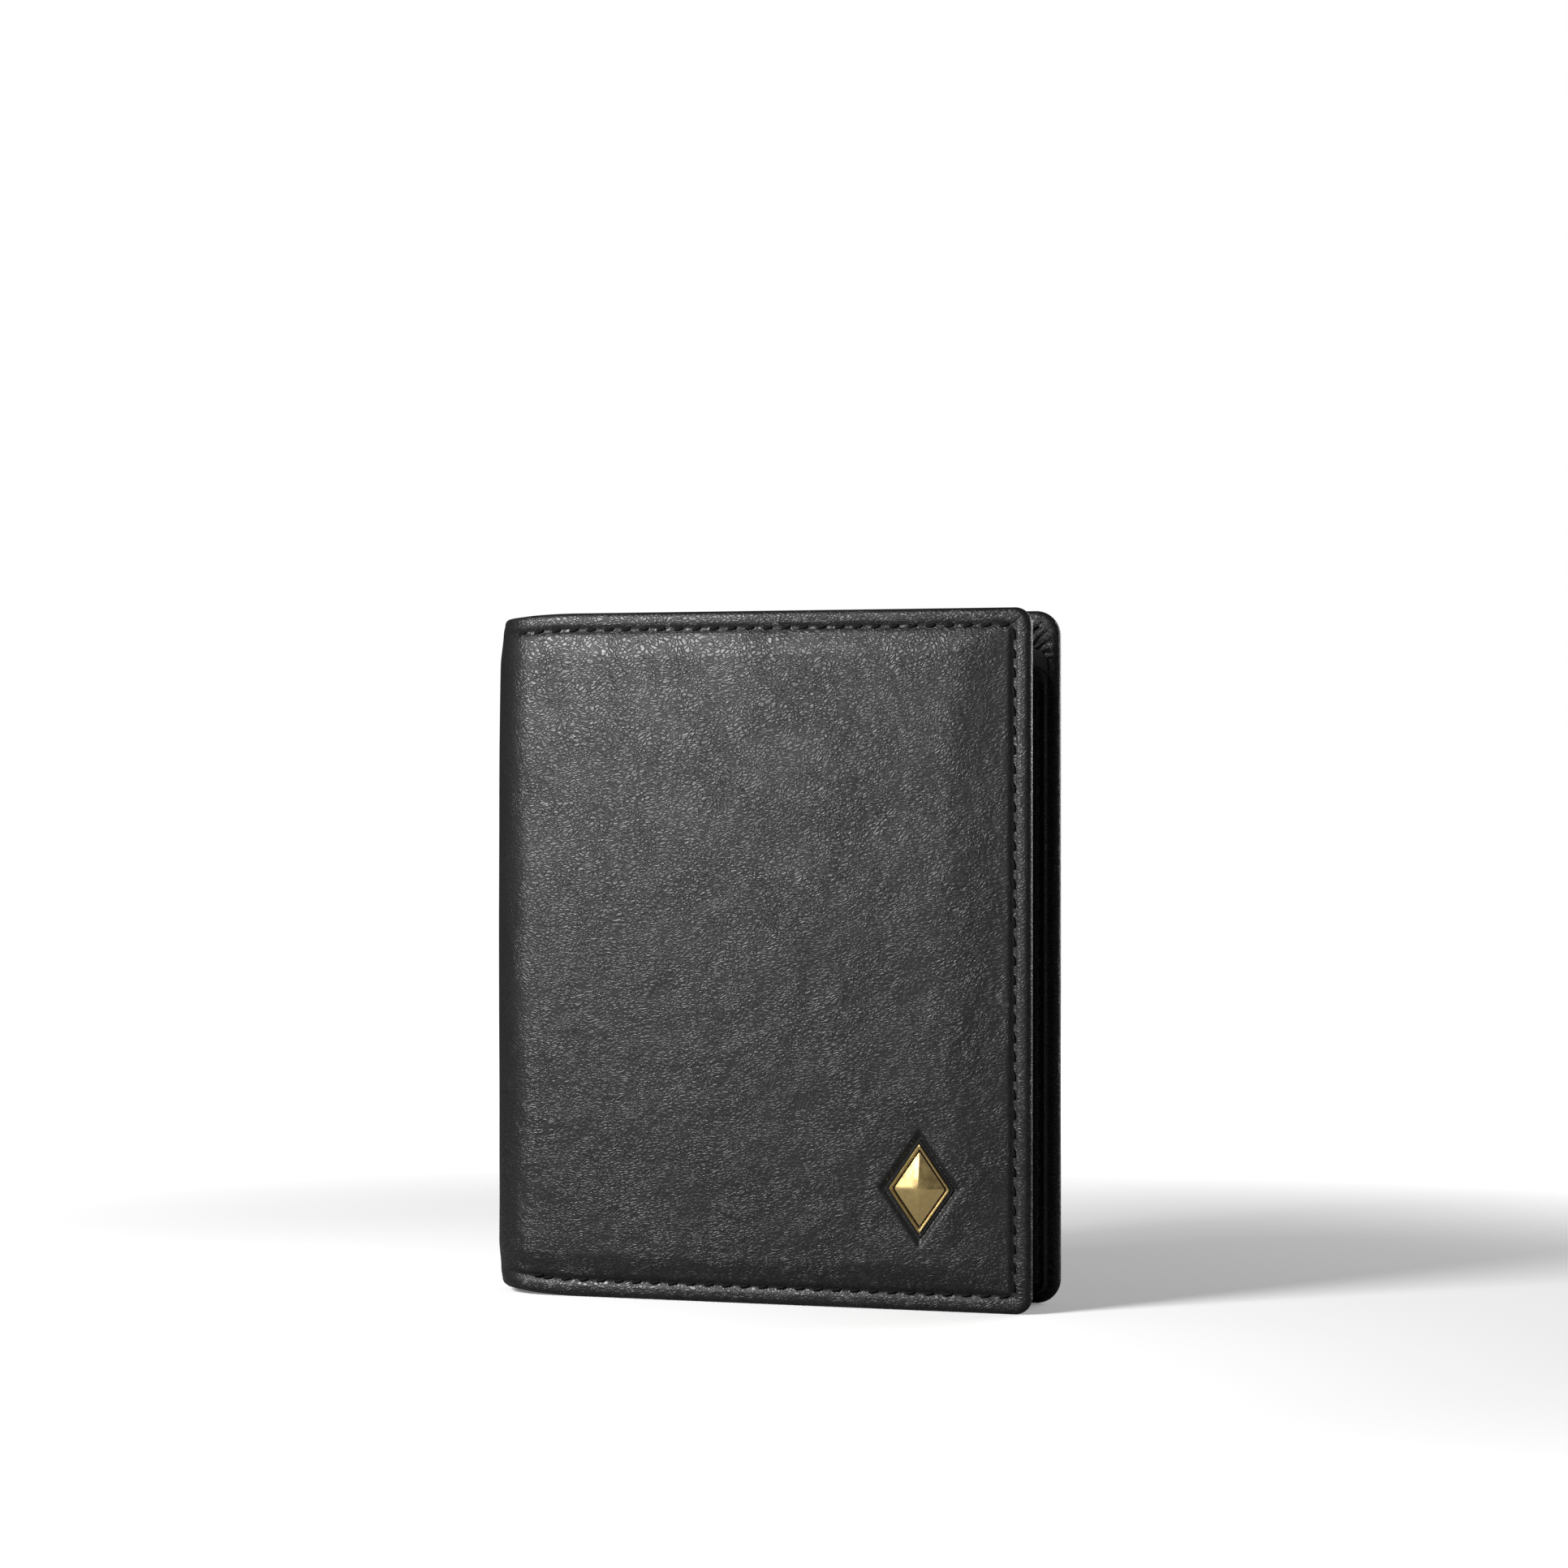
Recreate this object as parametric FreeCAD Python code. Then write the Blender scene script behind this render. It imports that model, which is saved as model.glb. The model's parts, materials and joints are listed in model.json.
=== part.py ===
"""Bifold wallet in portrait format, closed and standing on its lower edge.

Two padded leather covers are joined by a soft spine. Inside are banknote compartments, card slots,
a coin pocket with a press stud and a middle page with a window for an identity card.

Frame: X runs across the wallet, spine at -X and open side at +X. Y runs through its thickness, front
cover at -Y and back cover at +Y. Z is up. The origin is on the floor under the middle of the wallet.
Depths are measured inwards from a cover's outer face, so the same numbers serve both covers.
"""

import FreeCAD
import Part
import math
import os
from FreeCAD import Vector

# ---- overall size, mm
HEIGHT = 120.0
WIDTH = 100.0
THICKNESS = 20.0
FRONT = -1
BACK = 1

# ---- cover layers, as depths from the outer face, mm
PILLOW_RISE = 0.7
SKIN = 1.0
BOARD = 0.6
HEM = 0.7
LINING = 0.3
MARGIN_DEPTH = PILLOW_RISE
BOARD_DEPTH = MARGIN_DEPTH + SKIN
HEM_DEPTH = BOARD_DEPTH + BOARD
DIVIDER_DEPTH = HEM_DEPTH + HEM
DIVIDER = 0.3
PAGE_RIM_DEPTH = DIVIDER_DEPTH + DIVIDER
NOTE_GAP = 0.6
PAGE_DEPTH = PAGE_RIM_DEPTH + NOTE_GAP
PAGE = 0.7
PAGE_FACE = PAGE_DEPTH + PAGE

# ---- outlines, mm
CORNER_RADIUS = {FRONT: 2.4, BACK: 4.2}
EDGE_ROUND = 0.6
HEM_WIDTH = 8.0
HEM_CORNER = 1.0
PILLOW_INSET = 4.8
PILLOW_RAMP = 6.5
PILLOW_CORNER = 3.0
STIFF_END = -42.5
DIVIDER_TOP = 113.3
PAGE_TOP = 110.5
PAGE_LEFT = -43.5
PAGE_RIGHT = 48.0
PAGE_BOTTOM = 1.8
PAGE_RIM = 5.0
PAGE_CORNER = 2.0
CLEAR = 0.1
PAST = 1.0

# ---- spine: five strips round its centre line, each with its direction and its two ends in half steps
SPINE_RADIUS = THICKNESS / 2
SPINE_X = -WIDTH / 2 + SPINE_RADIUS
SPINE_HALF_STEP = 22.5
SPINE_DROP = 1.0
SPINE_LINING = 0.4
SPINE_HEM = 0.6
SPINE_STRIPS = {
    "back_edge": (135.0, -1, 0),
    "back_inner": (135.0, 0, 1),
    "middle": (180.0, -1, 1),
    "front_inner": (225.0, -1, 0),
    "front_edge": (225.0, 0, 1),
}
HINGE_CLEAR = 0.03

# ---- stitching
STITCH_INSET = 3.0
STITCH_PITCH = 3.3
STITCH_LENGTH = 2.6
THREAD_RADIUS = 0.28
GROOVE_WIDTH = 0.8
GROOVE_DEPTH = 0.45
THREAD_SINK = 0.15
SEAM_START = -41.5
PAGE_THREAD_SINK = 0.1

# ---- card slots
SLOT_STEP = 16.0
SLOT_OVERLAP = 6.0
SLOT_LEATHER = 0.6
SLOT_PITCH = 0.85
SLOT_AIR = 0.15
SLOT_LEFT = -42.3
SLOT_RIGHT = 45.4
SLOT_SIDE = 2.0
FIRST_SLOT_TOP = 102.5
BACK_SLOTS = 4
SLOT_BOTTOM = 8.0
SLOT_CLOTH = 0.12
SLOT_CLOTH_INSET = 2.5
FRONT_SLOT_TOPS = (102.5, 88.5)
FRONT_SLOT_BOTTOMS = (81.0, 79.0)

# ---- coin pocket, on the inside of the front cover
POUCH_LEFT = -34.0
POUCH_RIGHT = 43.0
POUCH_BOTTOM = 8.0
POUCH_TOP = 71.0
POUCH_INNER = 0.8
POUCH_WALL = 1.4
POUCH_CORNER = 6.0
POUCH_DEPTH = PAGE_FACE + POUCH_INNER
POUCH_LEATHER = 0.6
FLAP_ROOT = (-28.0, 38.0)
FLAP_TIP = (-20.0, 30.0)
FLAP_TIP_CORNER = 8.0
FLAP_TOP = 74.6
FLAP_BOTTOM = 48.6
FLAP_DEPTH = 6.9
FLAP_LEATHER = 0.5
FLAP_ANCHOR_TOP = 77.6
FLAP_ANCHOR_BOTTOM = 73.2
FLAP_ANCHOR_FACE = 6.7
SNAP_X = 5.0
SNAP_Z = 54.5
SNAP_CAP_RADIUS = 5.5
SNAP_CAP = 0.6
SNAP_CAP_ROUND = 0.45
SNAP_TUBE_RADIUS = 1.8
SNAP_RING_RADIUS = 5.0
SNAP_RING = 0.6
SNAP_FLANGE = 0.2
SNAP_POST_RADIUS = 1.9
SNAP_POST = 0.8
SNAP_POST_ROUND = 0.25
SNAP_GRIP_CLEAR = 0.15
RIVET_RADIUS = 1.5
RIVET_HEAD_RADIUS = 4.0

# ---- middle page
MIDDLE_LEFT = -43.3
MIDDLE_RIGHT = 46.5
MIDDLE_BOTTOM = 4.0
MIDDLE_TOP = 108.0
MIDDLE_CORNER = 3.0
MIDDLE_CORE = 0.6
MIDDLE_FRAME_FACE = -1.2
MIDDLE_FRAME_TOP = 68.0
MIDDLE_FILM = (-0.6, -0.4)
MIDDLE_FILM_INSET = 4.5
MIDDLE_WINDOW_INSET = 9.0
MIDDLE_UPPER_SLOT = (70.0, 94.0, -1.2, -0.6)
MIDDLE_BACK_SLOTS = ((76.0, 92.0, 0.4, 0.85), (6.0, 74.0, 0.95, 1.45))
MIDDLE_SEAM_INSET = 1.4
MIDDLE_SEAM_SINK = 0.25
MIDDLE_SEAM_ENDS = (8.0, 65.0)
MIDDLE_BINDING_FOOT = 2.5
MIDDLE_BINDING_THICKNESS = 0.4
MIDDLE_BINDING_INSET = 2.0

# ---- metal ornament on the front cover: a plain lozenge
ORNAMENT_X = 30.5
ORNAMENT_Z = 20.9
ORNAMENT_HALF_WIDTH = 5.6
ORNAMENT_HALF_HEIGHT = 8.0
ORNAMENT_RECESS = 0.7
ORNAMENT_BASE_DEPTH = 0.7
ORNAMENT_BASE = 0.4
ORNAMENT_RIM = 0.35
ORNAMENT_TIP_ROUND = 0.3
BEVEL_FOOT = 0.82
BEVEL_CREST = 0.25
PRONG_RADIUS = 0.5
PRONG_OFFSET = 3.2
WASHER_HALF = (3.0, 5.5)
WASHER_CORNER = 1.0

OUT = "parts"
SPINE_CENTRE = Vector(SPINE_X, 0, 0)


# ---------------------------------------------------------------- drawing helpers

def depth_to_y(side, depth):
    """Y of a plane that lies this deep below the outer face of the front or back cover."""
    return side * (THICKNESS / 2 - depth)


def outline(points):
    """Closed wire at Y = 0 through (x, z, corner radius) points, with an arc at each rounded corner."""
    edges = []
    last = None
    first = None
    count = len(points)
    for i, (x, z, radius) in enumerate(points):
        corner = Vector(x, 0, z)
        before = points[i - 1]
        after = points[(i + 1) % count]
        u = (Vector(before[0], 0, before[1]) - corner).normalize()
        v = (Vector(after[0], 0, after[1]) - corner).normalize()
        if radius > 0:
            half = u.getAngle(v) / 2
            bisector = (u + v).normalize()
            start = corner + u * (radius / math.tan(half))
            end = corner + v * (radius / math.tan(half))
            middle = corner + bisector * (radius / math.sin(half) - radius)
        else:
            start = corner
            end = corner
        if last is not None:
            edges.append(Part.makeLine(last, start))
        else:
            first = start
        if radius > 0:
            edges.append(Part.Arc(start, middle, end).toShape())
        last = end
    edges.append(Part.makeLine(last, first))
    return Part.Wire(edges)


def rectangle(x0, x1, z0, z1, lower_left=0, lower_right=0, upper_right=0, upper_left=0):
    """Corner points of an upright rectangle, with a radius for each corner."""
    return [(x0, z0, lower_left), (x1, z0, lower_right), (x1, z1, upper_right), (x0, z1, upper_left)]


def extruded(points, y0, y1):
    """Plate with this outline, between two Y planes."""
    face = Part.Face(outline(points))
    face.translate(Vector(0, min(y0, y1), 0))
    return face.extrude(Vector(0, abs(y1 - y0), 0))


def layer(side, points, depth0, depth1):
    """Plate with this outline, between two depths below a cover's outer face."""
    return extruded(points, depth_to_y(side, depth0), depth_to_y(side, depth1))


def tapered(side, low_points, low_depth, high_points, high_depth):
    """Solid that tapers from one outline to another between two depths."""
    low = outline(low_points)
    low.translate(Vector(0, depth_to_y(side, low_depth), 0))
    high = outline(high_points)
    high.translate(Vector(0, depth_to_y(side, high_depth), 0))
    return Part.makeLoft([low, high], True, True)


def disc(side, x, z, radius, depth0, depth1):
    """Round plate on an axis along Y."""
    y0 = depth_to_y(side, depth0)
    y1 = depth_to_y(side, depth1)
    return Part.makeCylinder(radius, abs(y1 - y0), Vector(x, min(y0, y1), z), Vector(0, 1, 0))


def save(name, shape):
    """Writes one node as a STEP file of one or more closed solids."""
    shape = shape.removeSplitter()
    shape.exportStep(os.path.join(OUT, name + ".step"))


# ---------------------------------------------------------------- seams

def stitch_row(start, end):
    """Row of short round stitches between two points, spread evenly at about the stitch pitch."""
    run = end - start
    count = max(1, round(run.Length / STITCH_PITCH))
    step = run.Length / count
    direction = Vector(run).normalize()
    stitches = []
    for i in range(count):
        offset = (i + 0.5) * step - STITCH_LENGTH / 2
        foot = start + direction * offset
        stitches.append(Part.makeCylinder(THREAD_RADIUS, STITCH_LENGTH, foot, direction))
    return stitches


def seam_corners():
    """Ends of the top, side and bottom rows of a cover's perimeter seam, as (x, z) pairs."""
    right = WIDTH / 2 - STITCH_INSET
    top = HEIGHT - STITCH_INSET
    return (SEAM_START, top), (right, top), (right, STITCH_INSET), (SEAM_START, STITCH_INSET)


def perimeter_rows(side, depth, path):
    """Stitches along a chain of (x, z) points at one depth."""
    y = depth_to_y(side, depth)
    stitches = []
    for (x0, z0), (x1, z1) in zip(path, path[1:]):
        stitches += stitch_row(Vector(x0, y, z0), Vector(x1, y, z1))
    return stitches


def groove(side, path, depth0, depth1):
    """Sunk channels that hold the stitches along a chain of (x, z) points."""
    half = GROOVE_WIDTH / 2
    channels = []
    for (x0, z0), (x1, z1) in zip(path, path[1:]):
        box = rectangle(min(x0, x1) - half, max(x0, x1) + half, min(z0, z1) - half, max(z0, z1) + half)
        channels.append(layer(side, box, depth0, depth1))
    return channels


def page_seam():
    """Path of the seam that is seen on the page: up the open side, and along the bottom."""
    right = WIDTH / 2 - STITCH_INSET
    return (right, PAGE_TOP - STITCH_INSET), (right, STITCH_INSET), (SEAM_START, STITCH_INSET)


def hem_seam():
    """Path of the seam that is seen on the hem above the page."""
    right = WIDTH / 2 - STITCH_INSET
    return (SEAM_START, HEIGHT - STITCH_INSET), (right, HEIGHT - STITCH_INSET)


def cover_thread(side):
    """Lockstitch of a cover: the outer row in its groove, and the inner row on hem and page."""
    outer = perimeter_rows(side, MARGIN_DEPTH + THREAD_SINK, seam_corners())
    on_hem = perimeter_rows(side, DIVIDER_DEPTH - PAGE_THREAD_SINK, hem_seam())
    on_page = perimeter_rows(side, PAGE_FACE - PAGE_THREAD_SINK, page_seam())
    return Part.makeCompound(outer + on_hem + on_page)


# ---------------------------------------------------------------- covers

def beyond_spine():
    """Wedge of space round the spine's centre line that the covers leave to the spine strips."""
    reach = 3 * SPINE_RADIUS
    low = math.radians(90 + SPINE_HALF_STEP)
    up = Vector(reach * math.cos(low), reach * math.sin(low), 0)
    down = Vector(up.x, -up.y, 0)
    shift = Vector(HINGE_CLEAR, 0, -PAST)
    corners = [SPINE_CENTRE + shift, SPINE_CENTRE + up + shift, SPINE_CENTRE + down + shift]
    wedge = Part.Face(Part.makePolygon(corners + corners[:1]))
    return wedge.extrude(Vector(0, 0, HEIGHT + 2 * PAST))


def pillow(side, low_depth, high_depth, left, shrink=0.0):
    """Padded field of a cover, with sloping shoulders towards the three sewn edges."""
    low = PILLOW_INSET + shrink
    high = low + PILLOW_RAMP
    corner = PILLOW_CORNER
    low_points = rectangle(left, WIDTH / 2 - low, low, HEIGHT - low, 0, corner, corner, 0)
    high_points = rectangle(left, WIDTH / 2 - high, high, HEIGHT - high, 0, corner, corner, 0)
    return tapered(side, low_points, low_depth, high_points, high_depth)


def cover_blank(side):
    """Slab of the cover's full outline with rounded outer edges, before it is hollowed."""
    radius = CORNER_RADIUS[side]
    points = rectangle(-WIDTH / 2, WIDTH / 2, 0, HEIGHT, 0, radius, radius, 0)
    slab = layer(side, points, MARGIN_DEPTH, DIVIDER_DEPTH)
    rounded = []
    for edge in slab.Edges:
        across = edge.BoundBox.YLength > CLEAR
        at_spine = edge.BoundBox.XMax < -WIDTH / 2 + CLEAR
        if not across and not at_spine:
            rounded.append(edge)
    return slab.makeFillet(EDGE_ROUND, rounded)


def cover_leather(side):
    """Outer skin of a cover, turned over its edges into a hem on the inside."""
    past = -WIDTH / 2 - PAST
    radius = CORNER_RADIUS[side] - SKIN
    right = WIDTH / 2
    board_room = rectangle(past, right - SKIN, SKIN, HEIGHT - SKIN, 0, radius, radius, 0)
    hem_edge = HEIGHT - HEM_WIDTH
    window = rectangle(past, right - HEM_WIDTH, HEM_WIDTH, hem_edge, 0, HEM_CORNER, HEM_CORNER, 0)
    skin = cover_blank(side).fuse(pillow(side, MARGIN_DEPTH, 0, -WIDTH / 2))
    skin = skin.cut(layer(side, board_room, BOARD_DEPTH, HEM_DEPTH))
    skin = skin.cut(layer(side, window, HEM_DEPTH, DIVIDER_DEPTH))
    skin = skin.cut(pillow(side, BOARD_DEPTH, SKIN, past))
    channels = groove(side, seam_corners(), MARGIN_DEPTH - CLEAR, MARGIN_DEPTH + GROOVE_DEPTH)
    channels += groove(side, hem_seam(), DIVIDER_DEPTH - GROOVE_DEPTH, DIVIDER_DEPTH)
    for channel in channels:
        skin = skin.cut(channel)
    return skin.cut(beyond_spine())


def cover_board(side):
    """Card stiffener between the skin and the hem."""
    inset = SKIN + CLEAR
    radius = CORNER_RADIUS[side] - inset
    points = rectangle(STIFF_END, WIDTH / 2 - inset, inset, HEIGHT - inset, 0, radius, radius, 0)
    return layer(side, points, BOARD_DEPTH, HEM_DEPTH)


def cover_padding(side):
    """Thin foam that lifts the padded field."""
    return pillow(side, BOARD_DEPTH, SKIN + CLEAR / 2, STIFF_END, shrink=CLEAR)


def note_lining(side):
    """Cloth on the outer wall of the banknote compartment, inside the hem."""
    inset = HEM_WIDTH + CLEAR
    corner = HEM_CORNER
    points = rectangle(STIFF_END, WIDTH / 2 - inset, inset, HEIGHT - inset, 0, corner, corner, 0)
    return layer(side, points, HEM_DEPTH, HEM_DEPTH + LINING)


def page_outline(top):
    """Outline that the page and the divider share, up to a given top edge."""
    return rectangle(PAGE_LEFT, PAGE_RIGHT, PAGE_BOTTOM, top, 0, PAGE_CORNER, PAGE_CORNER, 0)


def note_divider(side):
    """Thin partition that splits the banknote space in two."""
    return layer(side, page_outline(DIVIDER_TOP), DIVIDER_DEPTH, PAGE_RIM_DEPTH)


def page_leather(side):
    """Inner page with a turned rim along the open side and the bottom, where it is sewn on."""
    right = PAGE_RIGHT - PAGE_RIM
    bottom = PAGE_BOTTOM + PAGE_RIM
    note_room = rectangle(PAGE_LEFT - PAST, right, bottom, PAGE_TOP + PAST, 0, PAGE_CORNER, 0, 0)
    page = layer(side, page_outline(PAGE_TOP), PAGE_RIM_DEPTH, PAGE_FACE)
    page = page.cut(layer(side, note_room, PAGE_RIM_DEPTH, PAGE_DEPTH))
    for channel in groove(side, page_seam(), PAGE_FACE - GROOVE_DEPTH, PAGE_FACE):
        page = page.cut(channel)
    return page


def ornament_outline(grow, scale=1.0):
    """Corner points of the lozenge, grown outwards by a margin."""
    half_width = ORNAMENT_HALF_WIDTH * scale + grow
    half_height = ORNAMENT_HALF_HEIGHT * scale + grow * ORNAMENT_HALF_HEIGHT / ORNAMENT_HALF_WIDTH
    corner = ORNAMENT_TIP_ROUND
    return [
        (ORNAMENT_X - half_width, ORNAMENT_Z, corner),
        (ORNAMENT_X, ORNAMENT_Z - half_height, corner),
        (ORNAMENT_X + half_width, ORNAMENT_Z, corner),
        (ORNAMENT_X, ORNAMENT_Z + half_height, corner),
    ]


def prong_holes(depth0, depth1, radius):
    """Round bars where the ornament's two prongs pass through the layers."""
    holes = []
    for sign in (-1, 1):
        holes.append(disc(FRONT, ORNAMENT_X, ORNAMENT_Z + sign * PRONG_OFFSET, radius, depth0, depth1))
    return holes


def with_holes(shape):
    """A cover layer with clearance holes for the ornament's prongs."""
    for hole in prong_holes(0, DIVIDER_DEPTH, PRONG_RADIUS + CLEAR):
        shape = shape.cut(hole)
    return shape


# ---------------------------------------------------------------- ornament

def ornament_plate():
    """Bright lozenge: a rim step, then four bevels that rise to a ridge, with two clinched prongs."""
    foot = ornament_outline(0, BEVEL_FOOT)
    crest = ornament_outline(0, BEVEL_CREST)
    plate = layer(FRONT, ornament_outline(0), ORNAMENT_RIM, ORNAMENT_BASE_DEPTH)
    plate = plate.fuse(tapered(FRONT, foot, ORNAMENT_RIM, crest, 0.0))
    for prong in prong_holes(ORNAMENT_RIM, HEM_DEPTH + LINING, PRONG_RADIUS):
        plate = plate.fuse(prong)
    return plate


def ornament_base():
    """Dark backing plate in the recess under the ornament."""
    points = ornament_outline(ORNAMENT_RECESS - CLEAR)
    base = layer(FRONT, points, ORNAMENT_BASE_DEPTH, ORNAMENT_BASE_DEPTH + ORNAMENT_BASE)
    return with_holes(base)


def washer_slab(grow, depth0, depth1):
    """Plate with the clinch plate's outline, grown outwards by a margin."""
    half_width = WASHER_HALF[0] + grow
    half_height = WASHER_HALF[1] + grow
    corners = [WASHER_CORNER] * 4
    left = ORNAMENT_X - half_width
    low = ORNAMENT_Z - half_height
    points = rectangle(left, ORNAMENT_X + half_width, low, ORNAMENT_Z + half_height, *corners)
    return layer(FRONT, points, depth0, depth1)


def ornament_washer():
    """Steel clinch plate behind the board that the prongs are bent over."""
    return with_holes(washer_slab(0, HEM_DEPTH, HEM_DEPTH + LINING))


def washer_room():
    """Space that the clinch plate takes from the note lining."""
    return washer_slab(2 * CLEAR, HEM_DEPTH - CLEAR, DIVIDER_DEPTH)


# ---------------------------------------------------------------- spine

def spine_sector(strip_place, outer, inner, z0, z1):
    """Flat strip of the spine with mitred sides, whose outer face stands this far from the centre line."""
    angle, first, last = strip_place
    half = math.tan(math.radians(SPINE_HALF_STEP))
    corners = []
    for radius in (outer, inner):
        ends = [
            Vector(radius, first * radius * half + HINGE_CLEAR, z0),
            Vector(radius, last * radius * half - HINGE_CLEAR, z0),
        ]
        corners += ends if radius == outer else ends[::-1]
    section = Part.Face(Part.makePolygon(corners + corners[:1]))
    strip = section.extrude(Vector(0, 0, z1 - z0))
    strip.rotate(Vector(0, 0, 0), Vector(0, 0, 1), angle)
    strip.translate(SPINE_CENTRE)
    return strip


def spine_leather(place):
    """One strip of the spine's leather, with the turned edge at its top and bottom."""
    low = SPINE_DROP
    high = HEIGHT - SPINE_DROP
    inner = SPINE_RADIUS - SKIN
    strip = spine_sector(place, SPINE_RADIUS, inner, low, high)
    strip = strip.fuse(spine_sector(place, inner, inner - SPINE_HEM, low, HEM_WIDTH))
    return strip.fuse(spine_sector(place, inner, inner - SPINE_HEM, HEIGHT - HEM_WIDTH, high))


def spine_lining(place):
    """Cloth on the inside of one strip of the spine, between the turned edges."""
    outer = SPINE_RADIUS - SKIN
    return spine_sector(place, outer, outer - SPINE_LINING, HEM_WIDTH + CLEAR, HEIGHT - HEM_WIDTH - CLEAR)


# ---------------------------------------------------------------- card slots

def card_slot(side, index, top, bottom):
    """Stepped strip of a card pocket, with side tabs that reach back to the page."""
    depth = PAGE_FACE + SLOT_AIR + index * SLOT_PITCH
    strip = layer(side, rectangle(SLOT_LEFT, SLOT_RIGHT, bottom, top), depth, depth + SLOT_LEATHER)
    tab_top = top - SLOT_OVERLAP - CLEAR
    for left in (SLOT_LEFT, SLOT_RIGHT - SLOT_SIDE):
        tab = rectangle(left, left + SLOT_SIDE, bottom, tab_top)
        strip = strip.fuse(layer(side, tab, PAGE_FACE, depth))
    return strip


def back_slots():
    """The four stepped card slots on the back cover's page, top one first."""
    slots = []
    for index in range(BACK_SLOTS):
        top = FIRST_SLOT_TOP - index * SLOT_STEP
        bottom = top - SLOT_STEP - SLOT_OVERLAP
        if index == BACK_SLOTS - 1:
            bottom = SLOT_BOTTOM
        strip = card_slot(BACK, index, top, bottom)
        if index > 0:
            strip = strip.cut(slot_shadow(index, top))
        slots.append(strip)
    return slots


def slot_shadow(index, top):
    """Room for the strips behind this one, where their lower ends hide."""
    depth = PAGE_FACE + SLOT_AIR + index * SLOT_PITCH
    hidden = rectangle(SLOT_LEFT - PAST, SLOT_RIGHT + PAST, top - SLOT_OVERLAP - CLEAR, top + PAST)
    return layer(BACK, hidden, PAGE_FACE, depth)


# ---------------------------------------------------------------- coin pocket

def pouch_outline(inset, top):
    """Outline of the coin pouch, drawn in by an inset, with round lower corners."""
    radius = POUCH_CORNER - inset
    left = POUCH_LEFT + inset
    right = POUCH_RIGHT - inset
    return rectangle(left, right, POUCH_BOTTOM + inset, top, radius, radius, 0, 0)


def coin_pouch_front():
    """Front panel of the coin pouch, with a hole for the press stud's rivet."""
    panel = layer(FRONT, pouch_outline(0, POUCH_TOP), POUCH_DEPTH, POUCH_DEPTH + POUCH_LEATHER)
    return panel.cut(disc(FRONT, SNAP_X, SNAP_Z, RIVET_RADIUS + CLEAR, PAGE_FACE, FLAP_DEPTH))


def coin_pouch_gusset():
    """Folded side and bottom wall that lets the coin pouch swell."""
    wall = layer(FRONT, pouch_outline(0, POUCH_TOP), PAGE_FACE, POUCH_DEPTH)
    return wall.cut(layer(FRONT, pouch_outline(POUCH_WALL, POUCH_TOP + PAST), PAGE_FACE, POUCH_DEPTH))


def coin_flap():
    """Flap that closes the coin pouch, narrower and rounded at its tip."""
    points = [
        (FLAP_ROOT[0], FLAP_TOP, 0),
        (FLAP_TIP[0], FLAP_BOTTOM, FLAP_TIP_CORNER),
        (FLAP_TIP[1], FLAP_BOTTOM, FLAP_TIP_CORNER),
        (FLAP_ROOT[1], FLAP_TOP, 0),
    ]
    face = FLAP_DEPTH + FLAP_LEATHER
    flap = layer(FRONT, points, FLAP_DEPTH, face)
    return flap.cut(disc(FRONT, SNAP_X, SNAP_Z, SNAP_TUBE_RADIUS + CLEAR, FLAP_DEPTH, face))


def flap_anchor():
    """Leather strip on the page that carries the flap's fold."""
    points = rectangle(FLAP_ROOT[0], FLAP_ROOT[1], FLAP_ANCHOR_BOTTOM, FLAP_ANCHOR_TOP)
    return layer(FRONT, points, PAGE_FACE, FLAP_ANCHOR_FACE)


def round_inner_edge(shape, depth, radius):
    """Rounds the edges of a fitting that lie on its innermost plane."""
    y = depth_to_y(FRONT, depth)
    edges = []
    for edge in shape.Edges:
        if edge.BoundBox.YMin > y - CLEAR:
            edges.append(edge)
    return shape.makeFillet(radius, edges)


def snap_cap():
    """Domed cap on the outside of the flap, with the tube that passes through it."""
    face = FLAP_DEPTH + FLAP_LEATHER
    cap = disc(FRONT, SNAP_X, SNAP_Z, SNAP_CAP_RADIUS, face, face + SNAP_CAP)
    cap = round_inner_edge(cap, face + SNAP_CAP, SNAP_CAP_ROUND)
    return cap.fuse(disc(FRONT, SNAP_X, SNAP_Z, SNAP_TUBE_RADIUS, FLAP_DEPTH, face))


def snap_socket():
    """Ring under the flap that grips the stud."""
    bore = SNAP_POST_RADIUS + SNAP_GRIP_CLEAR
    ring = disc(FRONT, SNAP_X, SNAP_Z, SNAP_RING_RADIUS, FLAP_DEPTH - SNAP_RING, FLAP_DEPTH)
    return ring.cut(disc(FRONT, SNAP_X, SNAP_Z, bore, FLAP_DEPTH - SNAP_RING, FLAP_DEPTH))


def snap_stud():
    """Stud on the pouch, with a flange and a rounded post."""
    face = POUCH_DEPTH + POUCH_LEATHER
    flange = disc(FRONT, SNAP_X, SNAP_Z, SNAP_RING_RADIUS, face, face + SNAP_FLANGE)
    post = disc(FRONT, SNAP_X, SNAP_Z, SNAP_POST_RADIUS, face, face + SNAP_POST)
    return flange.fuse(round_inner_edge(post, face + SNAP_POST, SNAP_POST_ROUND))


def snap_rivet():
    """Rivet inside the pouch that holds the stud."""
    head = disc(FRONT, SNAP_X, SNAP_Z, RIVET_HEAD_RADIUS, POUCH_DEPTH - SNAP_FLANGE, POUCH_DEPTH)
    face = POUCH_DEPTH + POUCH_LEATHER
    return head.fuse(disc(FRONT, SNAP_X, SNAP_Z, RIVET_RADIUS, POUCH_DEPTH, face))


# ---------------------------------------------------------------- middle page

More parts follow.
